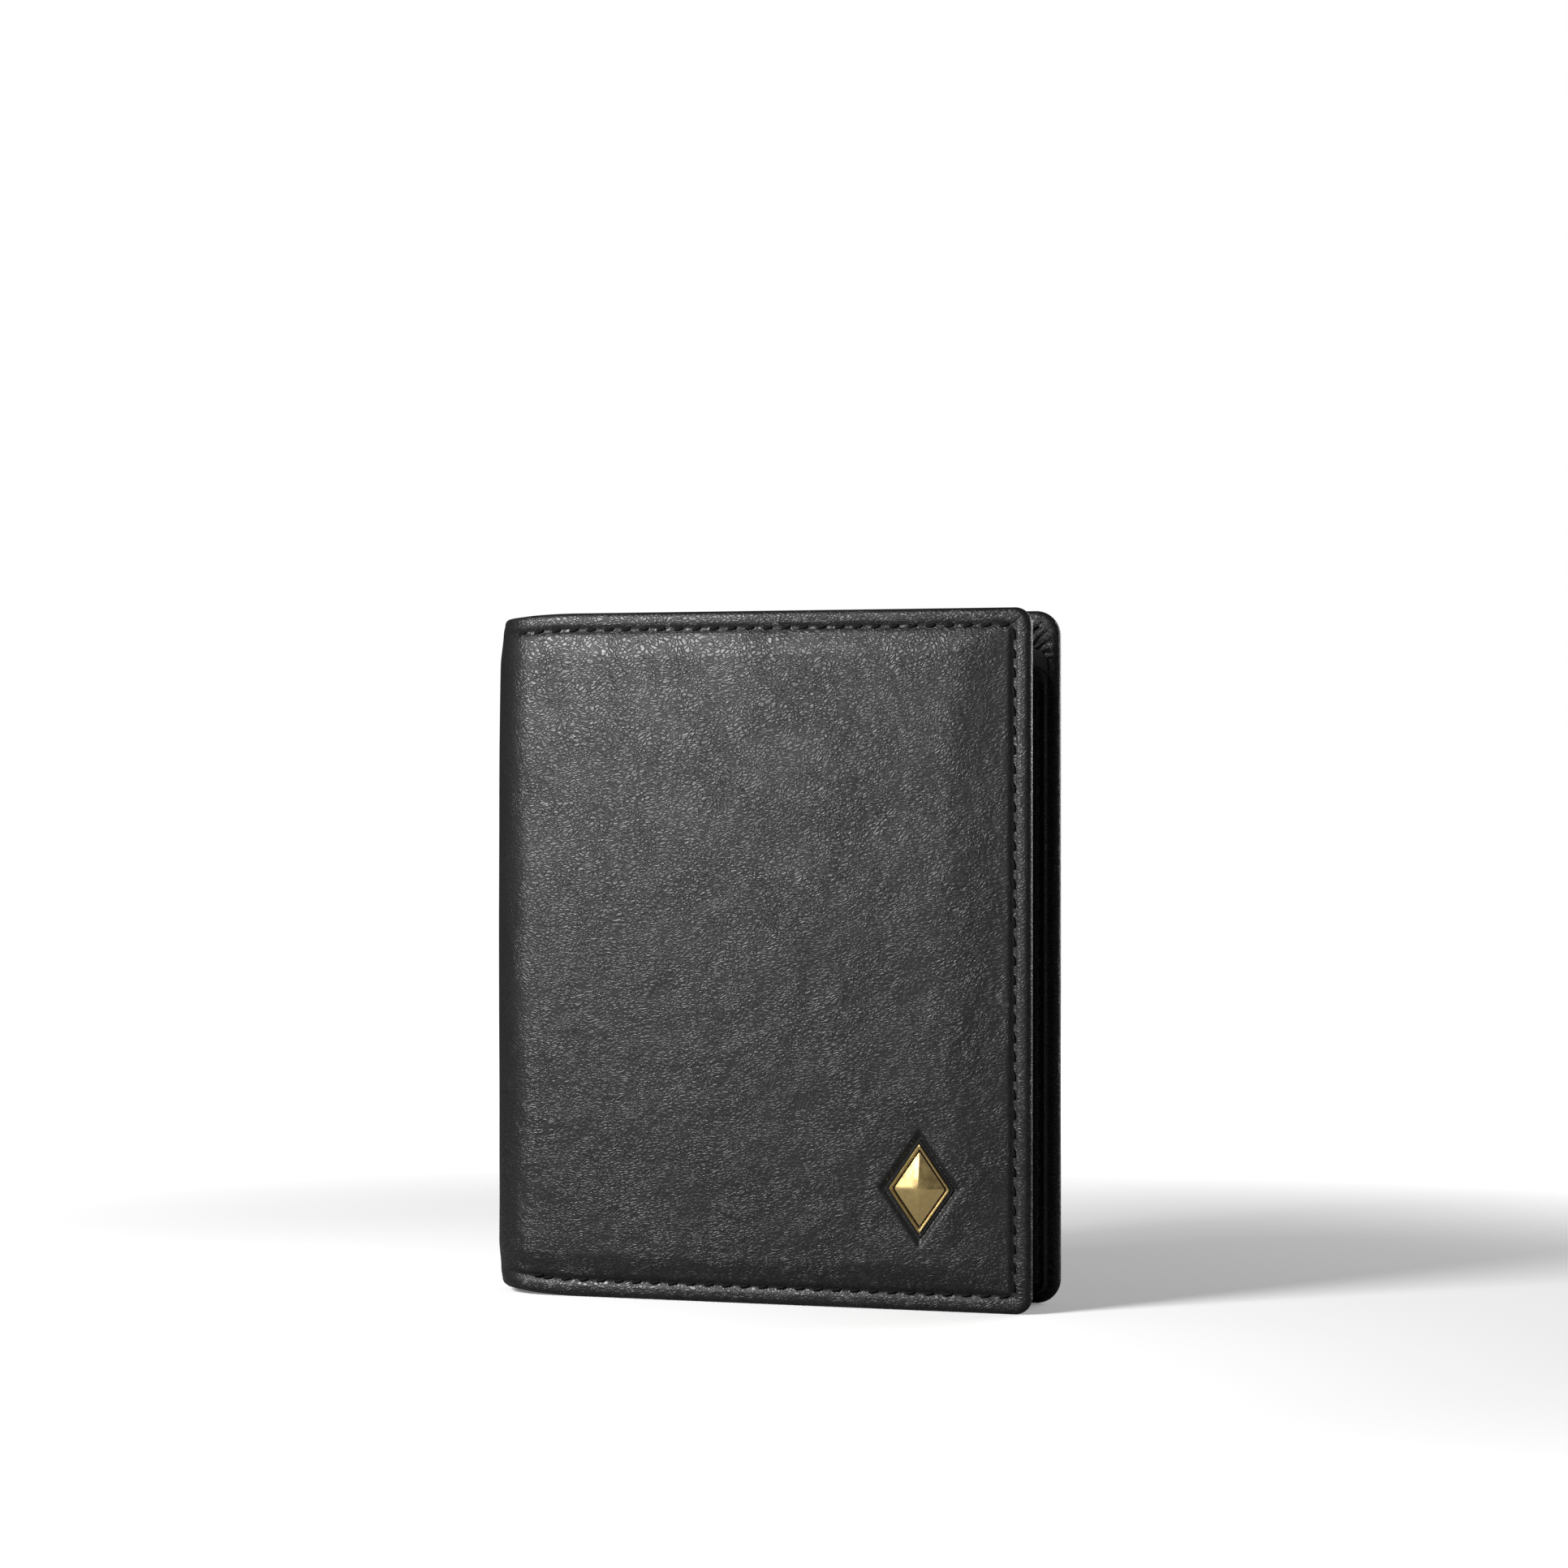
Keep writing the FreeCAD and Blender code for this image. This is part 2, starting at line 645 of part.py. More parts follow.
def middle_plate(z0, z1, y0, y1, low_radius=0.0, high_radius=0.0):
    """Plate across the full width of the middle page."""
    points = rectangle(MIDDLE_LEFT, MIDDLE_RIGHT, z0, z1, 0, low_radius, high_radius, 0)
    return extruded(points, y0, y1)


def middle_page_core():
    """Leather core of the middle page."""
    half = MIDDLE_CORE / 2
    return middle_plate(MIDDLE_BOTTOM, MIDDLE_TOP, -half, half, MIDDLE_CORNER, MIDDLE_CORNER)


def middle_slot(z0, z1, y0, y1):
    """Card pocket on the middle page: a strip whose side tabs and closed bottom reach the core."""
    if y0 > 0:
        near, core = y0, MIDDLE_CORE / 2
    else:
        near, core = y1, -MIDDLE_CORE / 2
    room = rectangle(MIDDLE_LEFT + SLOT_SIDE, MIDDLE_RIGHT - SLOT_SIDE, z0 + PAST, z1)
    backing = middle_plate(z0, z1 - SLOT_OVERLAP, core, near).cut(extruded(room, core, near))
    return middle_plate(z0, z1, y0, y1).fuse(backing)


def middle_inset(inset, top, corner=0.0):
    """Outline on the lower part of the middle page, drawn in by an inset, up to a given top edge."""
    corners = [corner] * 4
    return rectangle(MIDDLE_LEFT + inset, MIDDLE_RIGHT - inset, MIDDLE_BOTTOM + inset, top, *corners)


def window_frame():
    """Leather frame of the identity window, on the side that faces the front cover."""
    core = -MIDDLE_CORE / 2
    frame = middle_plate(MIDDLE_BOTTOM, MIDDLE_FRAME_TOP, MIDDLE_FRAME_FACE, core, MIDDLE_CORNER)
    top = MIDDLE_FRAME_TOP - MIDDLE_WINDOW_INSET
    opening = extruded(middle_inset(MIDDLE_WINDOW_INSET, top, MIDDLE_CORNER), MIDDLE_FRAME_FACE, core)
    card_room = middle_inset(MIDDLE_FILM_INSET - CLEAR, MIDDLE_FRAME_TOP + PAST)
    return frame.cut(opening).cut(extruded(card_room, MIDDLE_FILM[0], core))


def window_film():
    """Clear film behind the window frame."""
    return extruded(middle_inset(MIDDLE_FILM_INSET, MIDDLE_FRAME_TOP - CLEAR), *MIDDLE_FILM)


def middle_page_binding():
    """Leather strip that joins the middle page to the lining in the middle of the spine."""
    root = SPINE_X - (SPINE_RADIUS - SKIN - SPINE_LINING)
    step = root + MIDDLE_BINDING_THICKNESS
    half = MIDDLE_CORE / 2
    z0 = HEM_WIDTH + MIDDLE_BINDING_INSET
    z1 = MIDDLE_TOP - MIDDLE_BINDING_INSET
    foot = extruded(rectangle(root, step, z0, z1), -MIDDLE_BINDING_FOOT, MIDDLE_BINDING_FOOT)
    return foot.fuse(extruded(rectangle(step, MIDDLE_LEFT, z0, z1), -half, half))


def middle_faces():
    """Front and back Y planes of the middle page's sewn side."""
    return MIDDLE_FRAME_FACE, MIDDLE_BACK_SLOTS[-1][-1]


def middle_thread():
    """Stitches up the open side of the middle page, on both of its faces."""
    x = MIDDLE_RIGHT - MIDDLE_SEAM_INSET
    low, high = MIDDLE_SEAM_ENDS
    stitches = []
    for face in middle_faces():
        y = face - math.copysign(MIDDLE_SEAM_SINK, face)
        stitches += stitch_row(Vector(x, y, low), Vector(x, y, high))
    return Part.makeCompound(stitches)


def with_thread_channel(shape, face):
    """One side of the middle page with the channel that its stitches lie in."""
    x = MIDDLE_RIGHT - MIDDLE_SEAM_INSET
    half = GROOVE_WIDTH / 2
    low, high = MIDDLE_SEAM_ENDS
    points = rectangle(x - half, x + half, low - half, high + half)
    depth = THREAD_RADIUS + MIDDLE_SEAM_SINK
    return shape.cut(extruded(points, face, face - math.copysign(depth + CLEAR / 2, face)))


# ---------------------------------------------------------------- assembly

def build_covers():
    """Everything that both covers share."""
    for side, name in ((FRONT, "front"), (BACK, "back")):
        leather = cover_leather(side)
        board = cover_board(side)
        padding = cover_padding(side)
        lining = note_lining(side)
        if side == FRONT:
            floor = ORNAMENT_BASE_DEPTH + ORNAMENT_BASE
            recess = layer(FRONT, ornament_outline(ORNAMENT_RECESS), -PAST, floor)
            leather = leather.cut(recess)
            padding = with_holes(padding.cut(recess))
            board = with_holes(board)
            lining = lining.cut(washer_room())
        save(name + "_cover_leather", leather)
        save(name + "_cover_board", board)
        save(name + "_cover_padding", padding)
        save(name + "_note_lining", lining)
        save(name + "_note_divider", note_divider(side))
        save(name + "_page_leather", page_leather(side))
        save(name + "_seam_thread", cover_thread(side))


def build_spine():
    """The strips of the spine and their lining."""
    for name, place in SPINE_STRIPS.items():
        save("spine_leather_" + name, spine_leather(place))
        save("spine_lining_" + name, spine_lining(place))


def build_card_slots():
    """Card slots on both pages, and the cloth behind the back page's slots."""
    for index, slot in enumerate(back_slots()):
        save("back_card_slot_%d" % (index + 1), slot)
    inset = SLOT_CLOTH_INSET
    top = FIRST_SLOT_TOP - inset
    cloth = rectangle(SLOT_LEFT + inset, SLOT_RIGHT - inset, SLOT_BOTTOM + inset, top)
    save("back_slot_lining", layer(BACK, cloth, PAGE_FACE, PAGE_FACE + SLOT_CLOTH))
    for index, (top, bottom) in enumerate(zip(FRONT_SLOT_TOPS, FRONT_SLOT_BOTTOMS)):
        strip = card_slot(FRONT, index, top, bottom)
        if index > 0:
            behind = rectangle(SLOT_LEFT - PAST, SLOT_RIGHT + PAST, FRONT_SLOT_BOTTOMS[0] - CLEAR, top)
            strip = strip.cut(layer(FRONT, behind, PAGE_FACE, PAGE_FACE + SLOT_AIR + SLOT_PITCH))
        save("front_card_slot_%d" % (index + 1), strip)


def build_coin_pocket():
    """Coin pouch, its flap and the four parts of the press stud."""
    save("coin_pouch_front", coin_pouch_front())
    save("coin_pouch_gusset", coin_pouch_gusset())
    save("coin_flap_anchor", flap_anchor())
    save("coin_flap", coin_flap())
    save("snap_cap", snap_cap())
    save("snap_socket", snap_socket())
    save("snap_stud", snap_stud())
    save("snap_rivet", snap_rivet())


def build_middle_page():
    """Middle page: core, window side, slot side, binding and stitches."""
    front_face, back_face = middle_faces()
    upper, lower = MIDDLE_BACK_SLOTS
    save("middle_page_core", middle_page_core())
    save("window_frame", with_thread_channel(window_frame(), front_face))
    save("window_film", window_film())
    save("middle_window_slot", middle_slot(*MIDDLE_UPPER_SLOT))
    save("middle_card_slot_1", middle_slot(*upper))
    save("middle_card_slot_2", with_thread_channel(middle_slot(*lower), back_face))
    save("middle_page_binding", middle_page_binding())
    save("middle_page_thread", middle_thread())


def build_ornament():
    """Metal lozenge, its dark base and the plate it is clinched to."""
    save("ornament_plate", ornament_plate())
    save("ornament_base", ornament_base())
    save("ornament_washer", ornament_washer())


os.makedirs(OUT, exist_ok=True)
build_covers()
build_spine()
build_card_slots()
build_coin_pocket()
build_middle_page()
build_ornament()
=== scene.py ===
"""Looks of the portrait bifold wallet: leather, seams, linings and metal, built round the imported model.

Lengths in this script are millimetres until a mesh is made. A place on the outer leather is given by its run
(distance round the closed wallet from the middle of the spine), its height, and its depth below the surface.
"""

import bmesh
import bpy
import json
import math
import numpy as np
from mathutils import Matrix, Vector


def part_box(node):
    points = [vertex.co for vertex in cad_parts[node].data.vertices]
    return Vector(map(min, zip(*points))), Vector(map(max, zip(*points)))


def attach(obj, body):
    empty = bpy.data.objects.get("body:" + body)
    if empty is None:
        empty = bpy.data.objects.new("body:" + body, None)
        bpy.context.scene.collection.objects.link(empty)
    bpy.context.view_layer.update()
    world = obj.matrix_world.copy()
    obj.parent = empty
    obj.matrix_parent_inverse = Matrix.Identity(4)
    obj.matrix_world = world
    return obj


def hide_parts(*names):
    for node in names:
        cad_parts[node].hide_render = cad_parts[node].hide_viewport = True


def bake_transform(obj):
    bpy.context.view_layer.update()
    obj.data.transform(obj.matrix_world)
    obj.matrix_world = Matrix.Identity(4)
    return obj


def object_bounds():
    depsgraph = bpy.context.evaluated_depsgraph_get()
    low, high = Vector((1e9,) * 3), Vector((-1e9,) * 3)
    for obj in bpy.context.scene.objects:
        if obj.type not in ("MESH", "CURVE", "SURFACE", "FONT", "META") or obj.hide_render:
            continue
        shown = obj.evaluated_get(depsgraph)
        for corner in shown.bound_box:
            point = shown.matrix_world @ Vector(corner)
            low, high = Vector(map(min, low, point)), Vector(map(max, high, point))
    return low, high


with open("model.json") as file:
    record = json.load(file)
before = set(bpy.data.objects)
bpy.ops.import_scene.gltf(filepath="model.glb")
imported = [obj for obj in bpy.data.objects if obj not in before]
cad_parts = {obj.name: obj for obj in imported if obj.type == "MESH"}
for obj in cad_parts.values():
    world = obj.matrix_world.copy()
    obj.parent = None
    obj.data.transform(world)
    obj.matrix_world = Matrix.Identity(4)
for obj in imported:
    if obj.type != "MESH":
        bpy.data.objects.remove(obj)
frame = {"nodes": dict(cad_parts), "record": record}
cad_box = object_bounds()

MM = 0.001
FRONT = -1
BACK = 1
SIDE_NAMES = {FRONT: "front", BACK: "back"}


def box_mm(node):
    """Lowest and highest corner of a CAD node, in millimetres."""
    low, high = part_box(node)
    return np.array(low) / MM, np.array(high) / MM


def layer(node):
    """A flat layer's lowest and highest (x, z) corner, and the depths of its outer and inner face."""
    low, high = box_mm(node)
    outer, inner = sorted((HALF - abs(low[1]), HALF - abs(high[1])))
    return low[::2], high[::2], outer, inner


# ---- sizes, from the frame or of what the frame doesn't show
HALF = cad_box[1].y / MM
RIGHT = cad_box[1].x / MM
HEIGHT = cad_box[1].z / MM
SPINE_X = cad_box[0].x / MM + HALF
QUARTER = math.pi * HALF / 2
RUN_END = RIGHT - SPINE_X + QUARTER
STRIP_MID = QUARTER / 2
MARGIN = HALF - box_mm("back_cover_board")[1][1] - 1.0
BOARD_IN = HALF - box_mm("back_cover_board")[0][1]
HEM_FACE = HALF - box_mm("back_cover_leather")[0][1]
SEAM = 3.0
ROLL = (HEM_FACE - MARGIN) / 2
HEM_WIDTH = 8.0
CORNERS = {FRONT: 3.0, BACK: 4.4}
BACK_LONGER = 0.8
LEATHER = 0.6
CLOTH_THICKNESS = 0.22


# ---------------------------------------------------------------- small maths

def smooth(t):
    """Smooth step from 0 to 1."""
    t = np.clip(t, 0.0, 1.0)
    return t * t * (3 - 2 * t)


def field(x, z, scale, seed):
    """Smooth random field between -1 and 1 over a plane, the same on each run."""
    lattice = np.random.default_rng(seed).uniform(-1, 1, (64, 64))
    u = np.asarray(x, float) / scale + 20
    v = np.asarray(z, float) / scale + 20
    i = np.floor(u).astype(int)
    j = np.floor(v).astype(int)
    a = smooth(u - i)
    b = smooth(v - j)
    i0, i1, j0, j1 = i % 64, (i + 1) % 64, j % 64, (j + 1) % 64
    low = lattice[i0, j0] * (1 - a) + lattice[i1, j0] * a
    high = lattice[i0, j1] * (1 - a) + lattice[i1, j1] * a
    return low * (1 - b) + high * b


def packed(*parts):
    """Coordinates, each an array or a single number, as one array of points."""
    return np.stack(np.broadcast_arrays(*parts), -1)


def rounded_min(a, b, radius):
    """Smaller of two distances, with a round corner where both are small."""
    corner = radius - np.hypot(np.maximum(radius - a, 0), np.maximum(radius - b, 0))
    return np.where((a < radius) & (b < radius), corner, np.minimum(a, b))


def lines(start, end, step, fine=(), fine_step=0.3):
    """Grid line positions from start to end, closer together inside the fine stretches."""
    places = [start]
    while places[-1] < end:
        here = places[-1]
        near = any(low - step <= here <= high for low, high in fine)
        places.append(here + (fine_step if near else step))
    places = np.array(places)
    return start + (places - start) * (end - start) / (places[-1] - start)


# ---------------------------------------------------------------- meshes

def new_object(name, data):
    """Object in the scene that shows a mesh, a light or a camera."""
    obj = bpy.data.objects.new(name, data)
    bpy.context.scene.collection.objects.link(obj)
    return obj


class Skin:
    """Grids of points that are welded into one mesh."""

    def __init__(self):
        self.points = []
        self.faces = []
        self.uvs = []
        self.count = 0

    def grid(self, points, uv, wrap_rows=False):
        """Adds a grid of points with its surface coordinates; wrap_rows closes it into a tube."""
        rows, columns = points.shape[:2]
        index = np.arange(rows * columns).reshape(rows, columns) + self.count
        self.points.append(points.reshape(-1, 3))
        flat_uv = uv.reshape(-1, 2)
        a = index[:-1, :-1]
        b = index[1:, :-1]
        c = index[1:, 1:]
        d = index[:-1, 1:]
        quads = np.stack([a, b, c, d], axis=-1).reshape(-1, 4)
        if wrap_rows:
            closing = np.stack([index[-1, :-1], index[0, :-1], index[0, 1:], index[-1, 1:]], axis=-1)
            quads = np.concatenate([quads, closing.reshape(-1, 4)])
        self.faces.append(quads)
        self.uvs.append(flat_uv[quads.ravel() - self.count])
        self.count += rows * columns

    def build(self, name, outward=None):
        """Welded mesh object. An open surface is turned so that its first face looks along outward."""
        mesh = bpy.data.meshes.new(name)
        faces = np.concatenate(self.faces)
        mesh.from_pydata((np.concatenate(self.points) * MM).tolist(), [], faces.tolist())
        coords = mesh.uv_layers.new(name="surface")
        coords.data.foreach_set("uv", (np.concatenate(self.uvs) * MM).astype(np.float32).ravel())
        work = bmesh.new()
        work.from_mesh(mesh)
        bmesh.ops.remove_doubles(work, verts=work.verts, dist=1e-6)
        bmesh.ops.dissolve_degenerate(work, edges=work.edges, dist=1e-7)
        bmesh.ops.recalc_face_normals(work, faces=work.faces)
        if outward is not None:
            work.faces.ensure_lookup_table()
            if work.faces[0].normal.dot(Vector(outward)) < 0:
                bmesh.ops.reverse_faces(work, faces=work.faces)
        work.to_mesh(mesh)
        work.free()
        return new_object(name, mesh)


def shade(obj, material, sharp=50):
    """Smooth shading with sharp edges above an angle, and one material."""
    obj.data.shade_smooth()
    obj.data.set_sharp_from_angle(angle=math.radians(sharp))
    obj.data.materials.clear()
    obj.data.materials.append(material)
    return obj


def stands_for(obj, slot, *nodes):
    """Hides the CAD nodes that a piece stands for; the material slot is not used."""
    if nodes:
        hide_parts(*nodes)


def belongs(obj, body, slot, *nodes):
    """Puts a piece on its body and hides the CAD nodes it stands for; the material slot is not used."""
    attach(obj, body)
    stands_for(obj, slot, *nodes)


def thicken(obj, thickness):
    """Gives an open surface its thickness, on the side away from its normals."""
    solid = obj.modifiers.new("thickness", "SOLIDIFY")
    solid.thickness = thickness * MM
    solid.offset = -1
    solid.use_even_offset = False
    bpy.context.view_layer.update()
    graph = bpy.context.evaluated_depsgraph_get()
    mesh = bpy.data.meshes.new_from_object(obj.evaluated_get(graph), depsgraph=graph)
    obj.modifiers.clear()
    obj.data = mesh
    return obj


def one_grid(name, rows, coords, material, sharp, wrap_rows=False):
    """Closed piece made of one grid of points."""
    skin = Skin()
    skin.grid(np.array(rows), np.array(coords), wrap_rows)
    return shade(skin.build(name), material, sharp)


def round_corners(xs, zs, radii):
    """Grid over a rectangle whose four corners (ll, lr, ur, ul) are drawn in to arcs."""
    x, z = np.meshgrid(xs, zs, indexing="ij")
    ends = ((xs[0], zs[0], -1, -1), (xs[-1], zs[0], 1, -1), (xs[-1], zs[-1], 1, 1), (xs[0], zs[-1], -1, 1))
    for (cx, cz, sx, sz), radius in zip(ends, radii):
        if radius <= 0:
            continue
        p = (x - (cx - sx * radius)) * sx / radius
        q = (z - (cz - sz * radius)) * sz / radius
        inside = (p > 0) & (q > 0)
        big = np.maximum(p, q)
        ratio = np.minimum(p, q) / np.where(big > 0, big, 1)
        angle = np.where(p >= q, ratio, 2 - ratio) * math.pi / 4
        x = np.where(inside, cx - sx * radius + sx * radius * big * np.cos(angle), x)
        z = np.where(inside, cz - sz * radius + sz * radius * big * np.sin(angle), z)
    return x, z


def border(x, z):
    """Closed outline of a grid, anticlockwise, with its outward directions."""
    def walk(a):
        return np.concatenate([a[:-1, 0], a[-1, :-1], a[:0:-1, -1], a[0, :0:-1]])
    bx = walk(x)
    bz = walk(z)
    tx = np.roll(bx, -1) - np.roll(bx, 1)
    tz = np.roll(bz, -1) - np.roll(bz, 1)
    length = np.hypot(tx, tz)
    return bx, bz, tz / length, -tx / length


def sheet(name, low, high, radii, near, far, place, material, step=1.6, fine=0.35, rolls=6, edge=None):
    """Closed leather or cloth sheet with round edges.

    low and high are the outline's (x, z) corners. near and far give the depth of its two faces at (x, z), and
    place turns x, z and depth into a point.
    """
    if edge is None:
        middle = [np.array([(a + b) / 2]) for a, b in zip(low, high)]
        edge = abs(far(*middle) - near(*middle))[0] / 2
    x0, z0 = low[0] + edge, low[1] + edge
    x1, z1 = high[0] - edge, high[1] - edge
    band = 5.0
    xs = lines(x0, x1, step, ((x0, x0 + band), (x1 - band, x1)), fine)
    zs = lines(z0, z1, step, ((z0, z0 + band), (z1 - band, z1)), fine)
    x, z = round_corners(xs, zs, [max(r - edge, 0.0) for r in radii])
    skin = Skin()
    skin.grid(place(x, z, near(x, z)), packed(x, z))
    skin.grid(place(x, z, far(x, z)), packed(x + 200, z))
    bx, bz, nx, nz = (np.append(a, a[0]) for a in border(x, z))
    depth_near = near(bx, bz)
    depth_far = far(bx, bz)
    rows = []
    coords = []
    for angle in np.linspace(0, math.pi, rolls + 1):
        out = edge * math.sin(angle)
        mid = (depth_near + depth_far) / 2 - (depth_far - depth_near) / 2 * math.cos(angle)
        rows.append(place(bx + nx * out, bz + nz * out, mid))
        reach = edge * angle
        coords.append(packed(bx + nx * reach, bz + nz * reach))
    skin.grid(np.array(rows), np.array(coords))
    return shade(skin.build(name), material)


def lengthened(x, side):
    """The back cover's open end reaches a little further than the front cover's."""
    return x + np.where(side > 0, BACK_LONGER * smooth((x - 10) / (RIGHT - 10)), 0)


def on_side(side):
    """Place function for flat layers of one cover."""
    def place(x, z, depth):
        return packed(lengthened(x, side), side * (HALF - depth), z)
    return place


def on_plane(x, z, y):
    """Place function whose depth is Y itself."""
    return packed(x, y, z)


def pressed(distance, place, depth, width=0.35):
    """Depth of a pressed line that runs at a place's distance from an edge."""
    return depth * np.exp(-(((distance - place) / width) ** 2))


def tube(skin, centres, sideways, up, radii, sides=8):
    """Round bar along centre points, with its own sideways and up directions, closed at both ends."""
    rings = []
    for angle in np.linspace(0, 2 * math.pi, sides, endpoint=False):
        offset = sideways * math.cos(angle) + up * math.sin(angle)
        rings.append(centres + offset * radii[:, None])
    rings = np.array(rings)
    first = np.repeat(centres[None, :1], sides, axis=0)
    last = np.repeat(centres[None, -1:], sides, axis=0)
    points = np.concatenate([first, rings, last], axis=1)
    along = np.concatenate([[0], np.cumsum(np.linalg.norm(np.diff(centres, axis=0), axis=1))])
    along = np.concatenate([along[:1], along, along[-1:]])
    around = np.linspace(0, 2 * math.pi * radii.max(), sides)
    skin.grid(points, packed(along[None, :], around[:, None]), wrap_rows=True)


# ---------------------------------------------------------------- outer leather

def settled(run, z):
    """Height after the top and bottom edges sink a little round the fold."""
    up = np.where(z > HEIGHT / 2, 1.0, 1.35)
    sink = up * (1 - smooth((np.abs(run) - 1) / 22))
    return HEIGHT / 2 + (z - HEIGHT / 2) * (1 - sink / (HEIGHT / 2))


def wrap(run, z, depth):
    """Point at a depth below the closed wallet's outer surface, with the sink of the edges near the fold."""
    side = np.sign(run)
    ahead = np.abs(run)
    angle = math.pi - run / HALF
    radius = HALF - depth
    on_arc = ahead <= QUARTER
    x = np.where(on_arc, SPINE_X + radius * np.cos(angle), lengthened(SPINE_X + ahead - QUARTER, side))
    y = np.where(on_arc, radius * np.sin(angle), side * radius)
    return packed(x, y, settled(run, z))


def spine_share(run):
    """1 on the spine, 0 on the covers."""
    return 1 - smooth((np.abs(run) - 8) / 10)


def pinch(run, z):
    """How far the spine draws in: leaning in towards the top, curled in at both ends."""
    near_spine = 1 - smooth((np.abs(run) - 3) / 13)
    lean = 0.55 * np.exp(-(HEIGHT - z) / 11.0)
    end = np.clip((3.0 - np.minimum(z, HEIGHT - z)) / 3.0, 0, 0.98)
    return near_spine * (lean + 1.0 * (1 - np.sqrt(1 - end**2)))


ORNAMENT_LOW, ORNAMENT_HIGH = box_mm("ornament_plate")
ORNAMENT_X = (ORNAMENT_LOW[0] + ORNAMENT_HIGH[0]) / 2
ORNAMENT_Z = (ORNAMENT_LOW[2] + ORNAMENT_HIGH[2]) / 2
ORNAMENT_W = (ORNAMENT_HIGH[0] - ORNAMENT_LOW[0]) / 2
ORNAMENT_H = (ORNAMENT_HIGH[2] - ORNAMENT_LOW[2]) / 2


def ornament_dip(x, z):
    """How far the leather is pressed in round the ornament."""
    reach = np.abs(x - ORNAMENT_X) / ORNAMENT_W + np.abs(z - ORNAMENT_Z) / ORNAMENT_H
    away = (reach - 1.12) * ORNAMENT_W * 0.82
    return 0.55 * (1 - smooth(away / 1.1)) + 0.10 * np.exp(-np.maximum(away, 0) / 2.5)


def leather_depth(run, z):
    """Depth of the outer leather's face: sewn margin, sunk seam, padded field and soft dents."""
    ahead = np.abs(run)
    spine = spine_share(run)
    from_open = RUN_END - ahead
    from_ends = np.minimum(z, HEIGHT - z)
    inset = rounded_min(SEAM + (from_open - SEAM) * 0.42, from_ends, 6.0)
    rise = smooth((inset - SEAM + 0.4) / 5.6)
    margin = MARGIN + 0.12 - 0.35 * spine
    from_seam = np.minimum(from_open, from_ends) - SEAM
    groove = 0.42 * np.exp(-((from_seam / 0.6) ** 2)) * (1 - smooth((10 - ahead) / 4))
    dents = 0.16 * field(run, z, 17, 3) + 0.07 * field(run, z, 8, 5)
    upper = np.exp(-(((ahead - 75) / 30) ** 2) - (((z - 84) / 30) ** 2))
    dents = dents * (0.35 + 0.9 * upper) + 0.05 * upper * field(run, z, 4.5, 9)
    depth = margin * (1 - rise) + groove + (dents + 0.10) * rise + pinch(run, z)
    x = SPINE_X + ahead - QUARTER
    dip = np.where((run < 0) & (ahead > QUARTER), ornament_dip(x, z), 0)
    return depth + dip


def hem_depth(run):
    """Depth of the turned hem's inner face: thinner on the spine, where there is no board."""
    return 1.75 + (HEM_FACE - 1.75) * smooth((np.abs(run) - STRIP_MID) / 5)


def window_point(ahead, z):
    """Where the hem's inner edge lies opposite a point of the outline, and whether that is at a corner.

    The last value runs from 0 to 1 through a corner's gathers, from the top or bottom edge to the open side.
    """
    round_off = 1.0
    turn = RUN_END - HEM_WIDTH - round_off
    low = HEM_WIDTH + round_off
    along = np.maximum(ahead - turn, 0)
    down = np.maximum(np.maximum(low - z, z - (HEIGHT - low)), 0)
    share = np.arctan2(along, down) / (math.pi / 2)
    level = (z > low) & (z < HEIGHT - low)
    corner = (ahead > turn) & ~level
    up = np.where(z < HEIGHT / 2, -1, 1)
    corner_x = turn + round_off * np.sin(share * math.pi / 2)
    corner_z = np.where(up < 0, low, HEIGHT - low) + up * round_off * np.cos(share * math.pi / 2)
    to_x = np.where(ahead <= turn, ahead, RUN_END - HEM_WIDTH)
    to_z = np.where((ahead > turn) & level, z, np.where(up < 0, HEM_WIDTH, HEIGHT - HEM_WIDTH))
    return np.where(corner, corner_x, to_x), np.where(corner, corner_z, to_z), corner, share


